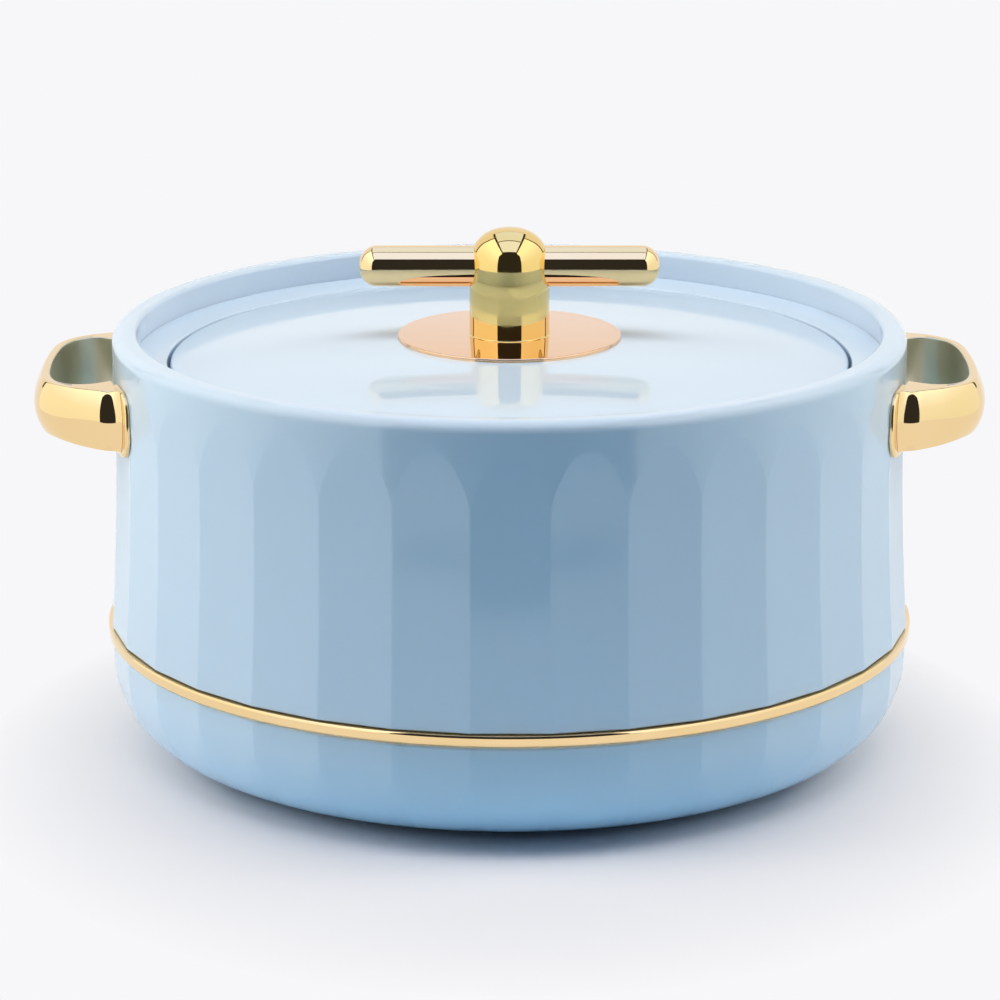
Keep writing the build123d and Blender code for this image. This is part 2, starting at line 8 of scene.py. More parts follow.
# %% Load the frame and keep its box
import json
import math
import bmesh
import bpy
import numpy as np
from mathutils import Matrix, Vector

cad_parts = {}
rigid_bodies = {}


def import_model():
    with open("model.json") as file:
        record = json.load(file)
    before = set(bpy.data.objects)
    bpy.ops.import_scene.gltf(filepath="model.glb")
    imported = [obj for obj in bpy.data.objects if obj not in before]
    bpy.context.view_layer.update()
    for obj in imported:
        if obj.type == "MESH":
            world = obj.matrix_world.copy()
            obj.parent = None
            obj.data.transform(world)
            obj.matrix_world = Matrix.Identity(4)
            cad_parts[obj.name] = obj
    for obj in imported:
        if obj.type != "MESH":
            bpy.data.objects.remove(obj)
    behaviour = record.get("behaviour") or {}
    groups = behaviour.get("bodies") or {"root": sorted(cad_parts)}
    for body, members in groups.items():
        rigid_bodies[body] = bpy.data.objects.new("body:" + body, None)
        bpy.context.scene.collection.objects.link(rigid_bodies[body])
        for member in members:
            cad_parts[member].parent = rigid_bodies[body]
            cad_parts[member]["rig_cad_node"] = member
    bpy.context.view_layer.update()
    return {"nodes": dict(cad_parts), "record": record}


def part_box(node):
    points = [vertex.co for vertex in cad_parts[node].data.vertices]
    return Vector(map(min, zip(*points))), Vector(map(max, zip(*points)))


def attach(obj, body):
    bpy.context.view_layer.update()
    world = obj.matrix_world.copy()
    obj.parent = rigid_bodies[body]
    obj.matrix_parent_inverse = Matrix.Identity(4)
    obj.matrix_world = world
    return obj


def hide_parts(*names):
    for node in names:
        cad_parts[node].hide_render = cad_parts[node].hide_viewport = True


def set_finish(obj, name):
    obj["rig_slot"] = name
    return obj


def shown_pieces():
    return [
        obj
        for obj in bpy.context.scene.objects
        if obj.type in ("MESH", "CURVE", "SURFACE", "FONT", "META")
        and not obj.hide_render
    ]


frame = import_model()
MM, CREASE = 0.001, 35.0

# %% [markdown]
# ## From a grid of points to a closed piece
# Every new piece is a surface over a grid: rows run along a profile, columns run round it.
# Numpy works out the whole grid at once. The grid's seams and poles are points that fall on each
# other, so merging close points sews the surface shut, and a closed surface can be turned
# right side out.


# %% Sewing grids into a mesh
def sew(name, patches):
    """A closed mesh from grids of points in millimetres.

    Each patch is a rows x columns x 3 array, and every four neighbouring points make a face.
    Points closer than a thousandth of a millimetre are merged, the faces are turned outwards,
    and edges that bend by more than CREASE degrees stay sharp.
    """
    points, faces, first = [], [], 0
    for patch in patches:
        rows, columns = patch.shape[:2]
        index = first + np.arange(rows * columns).reshape(rows, columns)
        corners = (index[:-1, :-1], index[1:, :-1], index[1:, 1:], index[:-1, 1:])
        faces.append(np.stack(corners, -1).reshape(-1, 4))
        points.append(patch.reshape(-1, 3))
        first += rows * columns
    points, faces = np.concatenate(points) * MM, np.concatenate(faces)
    mesh = bpy.data.meshes.new(name)
    mesh.vertices.add(len(points))
    mesh.vertices.foreach_set("co", points.astype(np.float32).ravel())
    mesh.loops.add(faces.size)
    mesh.loops.foreach_set("vertex_index", faces.astype(np.int32).ravel())
    mesh.polygons.add(len(faces))
    mesh.polygons.foreach_set("loop_start", np.arange(0, faces.size, 4, dtype=np.int32))
    mesh.update(calc_edges=True)
    work = bmesh.new()
    work.from_mesh(mesh)
    bmesh.ops.remove_doubles(work, verts=work.verts, dist=0.001 * MM)
    bmesh.ops.recalc_face_normals(work, faces=work.faces)
    if work.calc_volume(signed=True) < 0:
        bmesh.ops.reverse_faces(work, faces=work.faces)
    open_edges = sum(len(edge.link_faces) != 2 for edge in work.edges)
    work.to_mesh(mesh)
    work.free()
    mesh.polygons.foreach_set("use_smooth", np.ones(len(mesh.polygons), dtype=bool))
    mesh.set_sharp_from_angle(angle=math.radians(CREASE))
    print(f"{name}: {len(mesh.polygons)} faces, {open_edges} open edges")
    return mesh


# %% Putting a piece in the place of its CAD node
def place(name, patches, body, node, slot):
    """A new piece that rides on a body, stands for a CAD node and takes a record slot.

    It prints how far the piece's box is from the node's box, in millimetres.
    """
    piece = bpy.data.objects.new(name, sew(name, patches))
    bpy.context.scene.collection.objects.link(piece)
    low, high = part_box(node)
    box = np.array([point.co for point in piece.data.vertices])
    off = np.abs(np.array([box.min(0) - low, box.max(0) - high])).max() / MM
    print(f"  {name} follows {node} within {off:.2f} mm")
    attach(piece, body)
    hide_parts(node)
    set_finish(piece, slot)


# %% [markdown]
# ## Profiles with rounded corners
# Moulded plastic and turned metal have no knife edges. A profile is written as corners, each with
# its own rounding, and one function turns it into points. Most pieces of the casserole are such
# a profile turned about the upright axis.


# %% Rounded profiles and turning them
def rounded(corners, steps=6):
    """Points along corners given as (across, up, radius).

    At each corner the arc starts and ends radius / tan(half the inner angle) from it, round the
    point where the normals of its two sides meet. A corner with radius 0 stays as it is.
    """
    spots = np.array([corner[:2] for corner in corners], dtype=float)
    back, ahead = np.roll(spots, 1, 0) - spots, np.roll(spots, -1, 0) - spots
    parts = []
    for spot, u, v, radius in zip(spots, back, ahead, [corner[2] for corner in corners]):
        if radius == 0:
            parts.append(spot[None])
            continue
        u, v = u / np.hypot(*u), v / np.hypot(*v)
        half = math.acos(np.clip(u @ v, -1, 1)) / 2
        middle = spot + (u + v) / np.hypot(*(u + v)) * radius / math.sin(half)
        start, end = spot + u * radius / math.tan(half), spot + v * radius / math.tan(half)
        turn = math.pi - 2 * half
        t = np.linspace(0, 1, steps + 1)[:, None] * turn
        arm = np.sin(turn - t) * (start - middle) + np.sin(t) * (end - middle)
        parts.append(middle + arm / math.sin(turn))
    return np.concatenate(parts)


def closed(profile):
    """The profile with its first point again at its end."""
    return np.concatenate([profile, profile[:1]])


def turned(profile, columns=256, start=0.0):
    """Each profile point (r, z) sweeps the circle x = r cos a, y = r sin a at its height."""
    angle = start + np.linspace(0, 2 * np.pi, columns + 1)
    r, z = profile.T
    level = np.outer(z, np.ones_like(angle))
    return np.stack([np.outer(r, np.cos(angle)), np.outer(r, np.sin(angle)), level], -1)


# %% [markdown]
# ## The body's facets
# The side is a round wall with 34 flat facets. A facet is a chord of the wall: its distance from
# the axis is the same across its width, so at an angle a from its middle the surface is at
# distance / cos a. Near the top each facet's face curves outwards and meets the round wall in an
# arch. The grid has a column on every facet edge and a row on every arch, so the edges are crisp
# without any extra cutting. Columns crowd next to the edges, which rounds them by a hair, as a
# mould does.

# %% Main sizes of the body, in mm
RIM_R, RIM_Z = 121.8, 128.8
FOOT_R, SIDE_FLARE, FLARE_Z, SIDE_Z = 124.0, 2.55, 105.0, 38.1
FACETS, RELIEF = 34, 0.12
HALF_FACET = math.pi / FACETS
SPRING_Z, ARCH = 90.0, 30.5
WALL, UPPER_LIP, LOWER_LIP = 2.5, 0.6, 0.8


def side_radius(z):
    """Radius of the round side: upright down to FLARE_Z, then widening with the square."""
    drop = np.clip((FLARE_Z - z) / (FLARE_Z - SIDE_Z), 0, None)
    return RIM_R + SIDE_FLARE * drop**2


# %% The columns that all facets share
across_facet = np.array([-1, -0.965, -0.88, -0.6, -0.3, 0, 0.3, 0.6, 0.88, 0.965])
from_middle = np.tile(across_facet * HALF_FACET, FACETS)
facet_middle = -np.pi / 2 + 2 * HALF_FACET * np.repeat(np.arange(FACETS), len(across_facet))
from_middle = np.append(from_middle, from_middle[0])
column_angle = np.append(facet_middle, facet_middle[0] + 2 * np.pi) + from_middle
print("columns round the body:", len(column_angle) - 1)


def stand_up(radius, height):
    """Grid of points from arrays of radius and height, one column for each body column."""
    radius, height = np.broadcast_arrays(radius, height)
    return np.stack([radius * np.cos(column_angle), radius * np.sin(column_angle), height], -1)


def as_rows(profile):
    """A plain profile as grid rows that are the same in every column."""
    ones = np.ones((1, len(column_angle)))
    return profile[:, :1] * ones, profile[:, 1:] * ones


def drawn_in(distance, size):
    """How far a lip with a quarter round of that size recedes at a distance from its end."""
    return size * (1 - np.sqrt(1 - np.clip(1 - distance / size, 0, 1) ** 2))


# %% [markdown]
# ## Upper shell
# From the gold band up to the rim the rows follow each column's own arch: up to it they lie on
# the facet, above it on the round wall. The rounded rim, the wall inside it and the inside of
# the shell are plain turned rows, and one grid closes the whole shell.

# %% Upper shell
arch_depth = RIM_R - (RIM_R - RELIEF) * math.cos(HALF_FACET)
arch_share = np.sqrt(np.clip(1 - RIM_R * (1 - np.cos(from_middle)) / arch_depth, 0, 1))
arch_z = SPRING_Z + ARCH * arch_share
rim_round = 3.4
near_band = [0, 0.0006, 0.002, 0.0045, 0.008, 0.012, 0.018, 0.024]
below = np.concatenate([near_band, np.linspace(0.04, 0.97, 28), [0.985, 0.995, 1]])
above = np.array([0.02, 0.06, 0.14, 0.3, 0.5, 0.75, 1])
low_z = SIDE_Z + np.outer(below, arch_z - SIDE_Z)
facet_share = np.clip((low_z - SPRING_Z) / ARCH, 0, 1)
facet_r = np.where(
    low_z < SPRING_Z,
    (side_radius(low_z) - RELIEF) * math.cos(HALF_FACET),
    side_radius(low_z) - arch_depth * (1 - facet_share**2),
)
low_r = np.minimum(facet_r / np.cos(from_middle), side_radius(low_z))
low_r -= drawn_in(low_z - SIDE_Z, UPPER_LIP)
high_z = arch_z + np.outer(above, RIM_Z - rim_round - arch_z)
high_r = side_radius(high_z)

mouth_r, skirt_z, skirt_r, skirt_wall = 114.0, 117.4, 115.59, 2.2
inside_z = np.linspace(FLARE_Z, SIDE_Z, 12)
inside_wall = np.stack([side_radius(inside_z) - WALL, inside_z], -1)
rim_and_inside = rounded([
    (RIM_R, RIM_Z - rim_round, 0),
    (RIM_R, RIM_Z, rim_round),
    (mouth_r, RIM_Z, 1.2),
    (skirt_r, skirt_z, 0.3),
    (skirt_r + skirt_wall, skirt_z, 0.3),
    (mouth_r + skirt_wall, RIM_Z - WALL, 0.8),
    (RIM_R - WALL, RIM_Z - WALL, 0.8),
    (RIM_R - WALL, FLARE_Z, 0),
], steps=10)
rim_r_rows, rim_z_rows = as_rows(np.concatenate([rim_and_inside, inside_wall]))
shell_r = np.concatenate([low_r, high_r, rim_r_rows, low_r[:1]])
shell_z = np.concatenate([low_z, high_z, rim_z_rows, low_z[:1]])
place("shell_upper", [stand_up(shell_r, shell_z)], "casserole", "upper_shell", "shell_plastic")

# %% [markdown]
# ## Lower shell
# The foot's profile is a full, rounded curve: r = 94 + 30 cos(t) to the power 0.78, and the same
# power of sin(t) down to the floor. The facets run on over it and fade out near the floor in
# shallow scallops. Where a facet ends is found for every column at once, by looking up the
# column's 1 - cos a in the facet's depth along the curve.

# %% Lower shell
foot_top, floor_z, flat_r, fullness = 34.0, 1.0, 94.0, 0.78
facet_end_z = 6.0


def foot_point(t, width=FOOT_R - flat_r, depth=foot_top - floor_z):
    """Radius and height on the foot's curve; t runs from 0 at the top to 1 at the floor."""
    c, s = np.cos(t * np.pi / 2), np.sin(t * np.pi / 2)
    return flat_r + width * np.clip(c, 0, 1) ** fullness, foot_top - depth * s**fullness


def foot_facet(t):
    """Distance of the facet's face from the axis, fading out towards the floor."""
    r, z = foot_point(t)
    kept = np.clip(1 - ((foot_top - z) / (foot_top - facet_end_z)) ** 2, 0, 1)
    inset = r - (r - RELIEF) * math.cos(HALF_FACET)
    return r - inset * kept + (1 - kept) * RELIEF * 2


fine_t = np.linspace(0, 1, 2000)
fine_r, _ = foot_point(fine_t)
facet_depth = 1 - foot_facet(fine_t) / fine_r
last = np.argmax(facet_depth < 0)
end_t = np.interp(1 - np.cos(from_middle), facet_depth[last::-1], fine_t[last::-1])
on_facet = np.concatenate([[0, 0.002, 0.007, 0.015, 0.025], np.linspace(0.04, 0.96, 25), [0.98, 1]])
past_facet = np.concatenate([[0.03], np.linspace(0.1, 1, 14)])
foot_t = np.concatenate([np.outer(on_facet, end_t), end_t + np.outer(past_facet, 1 - end_t)])
foot_r, foot_z = foot_point(foot_t)
foot_r = np.minimum(foot_r, foot_facet(foot_t) / np.cos(from_middle))
foot_r -= drawn_in(foot_top - foot_z, LOWER_LIP)

groove_in, groove_out, groove_z = 83.0, 89.0, 2.6
port_r, port_recess_r, port_recess_z = 9.0, 12.0, 2.4
inner_floor_z = 4.0
spigot_r, spigot_top, spigot_wall = 120.3, 49.6, 2.3
in_t = np.linspace(1, 0, 16)
in_width = spigot_r - spigot_wall - flat_r
inside = np.stack(foot_point(in_t, in_width, foot_top - inner_floor_z), -1)
underside = [
    (groove_out, floor_z),
    (groove_out, groove_z),
    (groove_in, groove_z),
    (groove_in, floor_z),
    (port_recess_r, floor_z),
    (port_recess_r, port_recess_z),
    (port_r, port_recess_z),
    (port_r, inner_floor_z),
]
spigot = [
    (spigot_r - spigot_wall, spigot_top),
    (spigot_r, spigot_top),
    (spigot_r, foot_top),
    (FOOT_R - 1.2, foot_top),
]
plain_r, plain_z = as_rows(np.concatenate([underside, inside, spigot]))
base_r = np.concatenate([foot_r, plain_r, foot_r[:1]])
base_z = np.concatenate([foot_z, plain_z, foot_z[:1]])
place("shell_lower", [stand_up(base_r, base_z)], "casserole", "lower_shell", "shell_plastic")

# %% [markdown]
# ## Band, lid seat, bowl and anti-slip ring
# These are turned profiles. The gold band is a rolled hoop with rounded edges; a fine groove
# above and below it keeps it apart from the plastic, and shows as a dark line. The lid seat is
# the sloping ledge inside the rim. The bowl is deep-drawn steel with a generous floor corner.

# %% Turned pieces of the body
band = rounded([
    (120.6, 34.15, 0.2),
    (124.35, 34.15, 0.12),
    (124.98, 34.9, 0.25),
    (124.98, 37.15, 0.25),
    (124.65, 37.75, 0.12),
    (120.6, 37.9, 0.2),
])
place("gold_band", [turned(closed(band), 340)], "casserole", "trim_band", "polished_gold")

seat = rounded([
    (115.15, 120.2, 0),
    (105.0, 118.9, 0.7),
    (105.0, 106.0, 0.4),
    (100.1, 106.0, 1.5),
    (100.1, 103.5, 0.4),
    (107.5, 103.5, 0.6),
    (107.5, 114.9, 0.6),
    (119.0, 114.9, 0.3),
    (119.0, 117.4, 0.3),
    (115.54, 117.4, 0),
])
place("lid_seat", [turned(closed(seat))], "casserole", "lid_seat_ring", "shell_plastic")

bowl = rounded([
    (0, 25.8, 0),
    (97.4, 25.8, 13.0),
    (99.0, 106.8, 2.0),
    (104.5, 106.8, 0.3),
    (104.5, 106.0, 0.3),
    (99.8, 106.0, 1.2),
    (98.2, 25.0, 13.8),
    (0, 25.0, 0),
], steps=10)
place("steel_bowl", [turned(bowl)], "casserole", "inner_bowl", "stainless_steel")

soft_ring = rounded([(83.05, 0, 0.6), (88.95, 0, 0.6), (88.95, 2.6, 0), (83.05, 2.6, 0)])
place("anti_slip_ring", [turned(closed(soft_ring))], "casserole", "base_ring", "grey_rubber")

# %% [markdown]
# ## Loop handles
# Seen from above, a handle is a soft D: it leaves the body through a narrower neck, bulges, and
# bends round into an arc about the casserole's axis. Polished gold shows every kink of such a
# line, so the line isn't made of arcs and straights. It is drawn by its heading, which changes
# evenly. The strap's section is carried along two such lines: its outer half hangs on the outer
# line, its inner half on the inner line, so the strap is thick at the ends and thin at the bulge.

# %% The two lines of a handle
LINE_STEPS, SMOOTH_REACH = 800, 20


def bent_line(start, length, shares, headings, count=90):
    """Points and outward normals of half a handle, from its root to the middle of the bulge.

    The normal's angle from +Y towards +X is read off between the given shares of the length and
    evened out by a sliding mean. Short steps at right angles to it are added up from the start.
    """
    share = np.linspace(0, 1, LINE_STEPS + 1)
    angle = np.radians(np.interp(share, shares, headings))
    bell = np.hanning(2 * SMOOTH_REACH + 3)[1:-1]
    before = np.full(SMOOTH_REACH, angle[0])
    after = 2 * angle[-1] - angle[-2 : -2 - SMOOTH_REACH : -1]
    angle = np.convolve(np.concatenate([before, angle, after]), bell / bell.sum(), "valid")
    middle = (angle[1:] + angle[:-1]) / 2
    steps = np.stack([np.cos(middle), -np.sin(middle)], -1) * length * share[1]
    path = np.array(start) + np.concatenate([[[0, 0]], np.cumsum(steps, 0)])
    pick = np.linspace(0, LINE_STEPS, count).round().astype(int)
    normal = np.stack([np.sin(angle), np.cos(angle)], -1)
    return path[pick], normal[pick], share[pick] * length


def both_halves(half):
    """The half line, then its mirror image back to the other root, and distances from the roots."""
    line, normal, distance = half
    back, flip = slice(-2, None, -1), np.array([1, -1])
    return (
        np.concatenate([line, line[back] * flip]),
        np.concatenate([normal, normal[back] * flip]),
        np.concatenate([distance, distance[back]]),
    )


outer_line = both_halves(bent_line(
    (116.27, 42.17), 57.85,
    [0, 0.038, 0.078, 0.131, 0.235, 0.333, 0.431, 0.529, 0.627, 0.755, 1],
    [45, 12, 5, 19.3, 21.0, 35.3, 48.4, 64.7, 79.5, 86.6, 90],
))
inner_line = both_halves(bent_line(
    (120.4, 26.18), 45.7,
    [0, 0.1, 0.2, 0.3, 0.4, 0.5, 0.6, 0.75, 1],
    [-36.5, -33.6, -7.7, 26.4, 54.2, 71.8, 81.2, 86.4, 90],
))

# %% [markdown]
# The section's outer half is a wide arc that stands `crown` proud of the line, with a small arc
# at each edge; its inner half is flat with soft edges. Sections are given as (out, up).

# %% The strap's section
HALF_STRAP = 9.0
crown, face_ball, edge = 1.0, 16.5, 0.9
face_tilt = np.arcsin((HALF_STRAP - edge) / (face_ball - edge))
tilt = np.linspace(-1, 1, 33) * face_tilt
face_up = face_ball * np.sin(tilt)
face_out = crown - face_ball * (1 - np.cos(tilt))
bend = np.linspace(face_tilt, np.pi / 2, 7)
edge_out = face_out[0] - edge * (np.cos(face_tilt) - np.cos(bend))
edge_up = HALF_STRAP - edge * (1 - np.sin(bend))
outer_half = np.concatenate([
    np.stack([edge_out, -edge_up], -1)[::-1],
    np.stack([face_out, face_up], -1)[1:-1],
    np.stack([edge_out, edge_up], -1),
])
soft = 0.5
near, far = soft * (1 - np.sin(bend)), soft * (1 - np.cos(bend))
inner_half = np.concatenate(
    [np.stack([-near, HALF_STRAP - far], -1), np.stack([-far, near - HALF_STRAP], -1)]
)

# %% The finished handles
HANDLE_END_R, PULL_LENGTH = 123.3, 6
TOP_EDGE, ROOT_LOW, BEND_LOW = 117.4, 98.7, 100.8
RISE_FROM, RISE_RUN = 3, 25


def hang(section, line, normal, distance, outward):
    """Section points (out, up) hung on a line.

    The lower edge rises smoothly from ROOT_LOW at the root to BEND_LOW at the bend, and the
    section is scaled to that height. The first millimetres are pulled onto the body's plates.
    """
    rise = np.clip((distance - RISE_FROM) / RISE_RUN, 0, 1)
    low_edge = ROOT_LOW + (BEND_LOW - ROOT_LOW) * rise**2 * (3 - 2 * rise)
    half_height = (TOP_EDGE - low_edge)[:, None] / 2
    level = TOP_EDGE - half_height + section[None, :, 1] * half_height / HALF_STRAP
    spot = line[:, None, :] + outward * normal[:, None, :] * section[None, :, :1]
    pull = np.sqrt(HANDLE_END_R**2 - spot[0, :, 1] ** 2) - spot[0, :, 0]
    x = spot[..., 0] + pull * np.clip(1 - distance / PULL_LENGTH, 0, 1)[:, None] ** 2
    return np.stack([x, spot[..., 1], level], -1)


strap = np.concatenate([hang(outer_half, *outer_line, 1), hang(inner_half, *inner_line, -1)], axis=1)
strap = np.concatenate([strap, strap[:, :1]], axis=1)
caps = [np.stack([end, end * 0 + end[:-1].mean(0)]) for end in (strap[0], strap[-1])]
for side, name in ((1, "right"), (-1, "left")):
    flip = np.array([side, 1, 1])
    grids = [grid * flip for grid in [strap, *caps]]
    place(f"loop_handle_{name}", grids, "casserole", f"handle_{name}", "polished_gold")

# %% [markdown]
# ## Rosettes
# A thin plate sits between each handle end and the body, curved to the body. Its outline is a
# rounded square in the plate's own flat coordinates (w along the body, h up), and its section
# runs from the screw hole out to the rounded rim and back underneath. Laying it on the body turns
# w into an angle.

# %% Rosettes
plate_low, plate_top, plate_edge = 121.95, 123.25, 0.8
plate_w, plate_h, plate_round = 10.5, 10.3, 7.0
screw_hole, screw_y, PLATE_Z = 2.2, 36.0, 107.2
plate_lean = math.asin(screw_y / plate_top)
corners = [(plate_w * i, plate_h * j, plate_round) for i, j in ((1, -1), (1, 1), (-1, 1), (-1, -1))]
rim_line = closed(rounded(corners, 12))
bearing = np.arctan2(rim_line[:, 1], rim_line[:, 0])
hole_line = screw_hole * np.stack([np.cos(bearing), np.sin(bearing)], -1)
inward = -rim_line / np.hypot(*rim_line.T)[:, None]
bend = np.linspace(0, np.pi / 2, 7)
insets = np.append(0, plate_edge * (1 - np.cos(bend)))
edge_levels = np.append(plate_low, plate_top - plate_edge * (1 - np.sin(bend)))
edge_rows = rim_line + inward * insets[:, None, None]
inwards, outwards = np.array([[0.33, 0.66, 1.0], [1.0, 0.5, 0.0]])[..., None, None]
top_rows = edge_rows[-1] + (hole_line - edge_rows[-1]) * inwards
under_rows = rim_line + (hole_line - rim_line) * outwards
plate = np.concatenate([edge_rows, top_rows, under_rows])
levels = np.concatenate([edge_levels, [plate_top] * 3, [plate_low] * 3])
plate_level = levels[:, None] * np.ones(plate.shape[1])


def lay_plate(lean, side):
    """Flat (w, h) becomes the angle lean + w / radius round the axis and the height."""
    angle = lean + plate[..., 0] / plate_top
    x, y = plate_level * np.cos(angle), plate_level * np.sin(angle)
    return np.stack([side * x, y, PLATE_Z + plate[..., 1]], -1)


for side, name in ((1, "right"), (-1, "left")):
    grids = [lay_plate(lean, side) for lean in (plate_lean, -plate_lean)]
    place(f"root_plates_{name}", grids, "casserole", f"rosettes_{name}", "polished_gold")

# %% [markdown]
# ## Lid
# The lid's top is part of a very large sphere, so flat that it mirrors the grip almost like
# glass. Its height at radius r is crown - (ball - sqrt(ball squared - r squared)). The recess for
# the disc, the skirt and the hollow underside belong to the same closed profile.

# %% Lid, liner and seal
LID_R, LID_RISE, CROWN_Z, LID_WALL = 104.1, 6.6, 125.5, 2.5
LID_IN_R, LID_LOW, BOSS_R, BOLT_R, LINER_Z = 101.9, 111.5, 9.0, 2.7, 105.6
ball = (LID_R**2 + LID_RISE**2) / (2 * LID_RISE)


def dome(r, drop=0.0):
    """Height of the lid's dome at radius r, or of its inside, `drop` lower."""
    return CROWN_Z - drop - (ball - drop) + np.sqrt((ball - drop) ** 2 - r**2)


DISC_R, DISC_Z, DISC_TOP = 34.3, 124.4, 125.9
recess_r, edge_r = DISC_R + 0.05, LID_R - 1.6
top_r = np.linspace(recess_r, edge_r, 40)
under_r = np.linspace(LID_IN_R, BOSS_R, 20)
lid_edge = rounded([
    (edge_r, dome(edge_r), 0),
    (LID_R, dome(LID_R), 1.0),
    (LID_R, LID_LOW, 0.3),
    (LID_IN_R, LID_LOW, 0),
])
lid_profile = np.concatenate([
    [(BOLT_R, DISC_Z), (recess_r, DISC_Z)],
    np.stack([top_r, dome(top_r)], -1),
    lid_edge[1:],
    np.stack([under_r, dome(under_r, LID_WALL)], -1),
    [(BOSS_R, LINER_Z), (BOLT_R, LINER_Z)],
])
place("lid_dome", [turned(closed(lid_profile), 320)], "lid", "lid_top", "shell_plastic")

liner = rounded([
    (BOLT_R, 104.8, 0),
    (96.0, 104.8, 2.0),
    (98.8, 108.9, 0.6),
    (102.1, 108.9, 0.2),
    (102.1, 109.7, 0.2),
    (98.0, 109.7, 0.6),
    (95.2, LINER_Z, 1.2),
    (BOLT_R, LINER_Z, 0),
])
place("lid_pan", [turned(closed(liner))], "lid", "lid_liner", "stainless_steel")

seal = rounded([
    (100.4, 107.1, 0.3),
    (104.7, 107.1, 0.8),
    (104.7, 111.2, 0.8),
    (100.4, 111.2, 0.3),
    (100.4, 109.75, 0),
    (102.15, 109.75, 0),
    (102.15, 108.85, 0),
    (100.4, 108.85, 0),
])
place("seal_ring", [turned(closed(seal))], "seal", "lid_seal", "silicone")

# %% [markdown]
# ## Disc and bar
# The disc is a thin mirror with a hair of rounding at its edge. The bar is turned as well, but
# lies along X, so its profile is swept about that axis.

# %% Disc and bar
disc = rounded(
    [(BOLT_R, DISC_Z, 0), (DISC_R, DISC_Z, 0), (DISC_R, DISC_TOP, 0.4), (BOLT_R, DISC_TOP, 0)]
)
place("mirror_disc", [turned(closed(disc), 320)], "lid", "lid_disc", "rose_gold")

bar_low, bar_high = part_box("knob_bar")
BAR_Z = (bar_low.z + bar_high.z) / 2 / MM
BAR_R, BAR_HALF, BAR_END, STRAIGHT = 6.3, 45.9, 5.4, 40
bar_end = rounded([(0, -BAR_HALF, 0), (BAR_R, -BAR_HALF, BAR_END), (BAR_R, 0, 0)], 12)[:-1]
straight = np.stack([np.full(30, BAR_R), np.linspace(-STRAIGHT, STRAIGHT, 30)], -1)
bar = np.concatenate([bar_end, straight, bar_end[::-1] * [1, -1]])
bar_grid = turned(bar, 128)[..., [2, 0, 1]] + np.array([0, 0, BAR_Z])
place("grip_bar", [bar_grid], "lid", "knob_bar", "polished_gold")

# %% [markdown]
# ## Post
# The post is a cylinder with a full round top and a hole across it for the bar. Cutting that hole
# with a boolean would leave ragged faces that mirror badly, so the surface is drawn round the hole
# instead. The top begins at the bar's axis: with r and h as shares of its radius and rise, its
# surface is where r and h, both to the power FULLNESS, add up to 1. Straight lines go out from the
# bar's middle in all directions, starting at the hole's rim, and end on that surface. Below, the
# cylinder is unrolled flat, the half hole and the outline are joined by straight lines, and the
# sheet is rolled up again.

# %% Upper half of the post
POST_R, HOLE_R, POST_BOTTOM, POST_TOP = 12.3, BAR_R + 0.05, DISC_TOP, 158.9
RISE, FULLNESS = POST_TOP - BAR_Z, 2.25
reach = np.linspace(0, 1, 48)[:, None]
sweep = np.linspace(0, np.pi, 121)
level_r = POST_R * (1 - (HOLE_R * np.sin(sweep) / RISE) ** FULLNESS) ** (1 / FULLNESS)
hole_x = np.sqrt(level_r**2 - (HOLE_R * np.cos(sweep)) ** 2)
polar = np.arctan2(HOLE_R, hole_x)
polar = polar + (np.pi / 2 - polar) * reach
way = np.stack([np.cos(polar), np.sin(polar) * np.cos(sweep), np.sin(polar) * np.sin(sweep)], -1)
flat_share, up_share = np.hypot(way[..., 0], way[..., 1]) / POST_R, way[..., 2] / RISE
run = (flat_share**FULLNESS + up_share**FULLNESS) ** (-1 / FULLNESS)
upper = way * run[..., None] + np.array([0, 0, BAR_Z])

# %% Lower half, tunnel and foot of the post
quarter = POST_R * np.pi / 2
FOOT_COVE, SCREW_R, SCREW_TOP = 0.35, 2.5, 140.6
cove_top = POST_BOTTOM + FOOT_COVE
down = np.linspace(BAR_Z, cove_top, 41)
over = np.linspace(quarter, -quarter, 121)
outline_s = np.concatenate([np.full(40, quarter), over, np.full(40, -quarter)])
outline_z = np.concatenate([down[:-1], np.full(121, cove_top), down[-2::-1]])
ray = np.arctan2(outline_z - BAR_Z, outline_s)
hole_s = POST_R * np.arcsin(HOLE_R * np.cos(ray) / POST_R)
hole_z = BAR_Z + HOLE_R * np.sin(ray)
flat_s = hole_s + (outline_s - hole_s) * reach
flat_z = hole_z + (outline_z - hole_z) * reach
lower = np.stack([POST_R * np.cos(flat_s / POST_R), POST_R * np.sin(flat_s / POST_R), flat_z], -1)
other_side = np.array([-1, 1, 1])
tunnels = [np.stack([rim, rim * other_side]) for rim in (upper[0], lower[0])]
dip = np.linspace(0, np.pi / 2, 6)
cove = np.stack([POST_R + FOOT_COVE * (1 - np.cos(dip)), cove_top - FOOT_COVE * np.sin(dip)], -1)
bore = np.array([(SCREW_R, POST_BOTTOM), (SCREW_R, SCREW_TOP), (0, SCREW_TOP)])
foot = turned(np.concatenate([cove, bore]), 240, -np.pi / 2)
post_grids = [upper, upper * other_side, lower, lower * other_side, *tunnels, foot]
place("grip_post", post_grids, "lid", "knob_post", "polished_gold")

# %% [markdown]
# ## Pieces that stay as they are
# Foam, screws, washers and the plug keep their CAD meshes. Those are loose triangles, so each gets
# two live modifiers: Weld joins the triangles, and Edge Split keeps real edges sharp while the
# rest is shaded smooth.

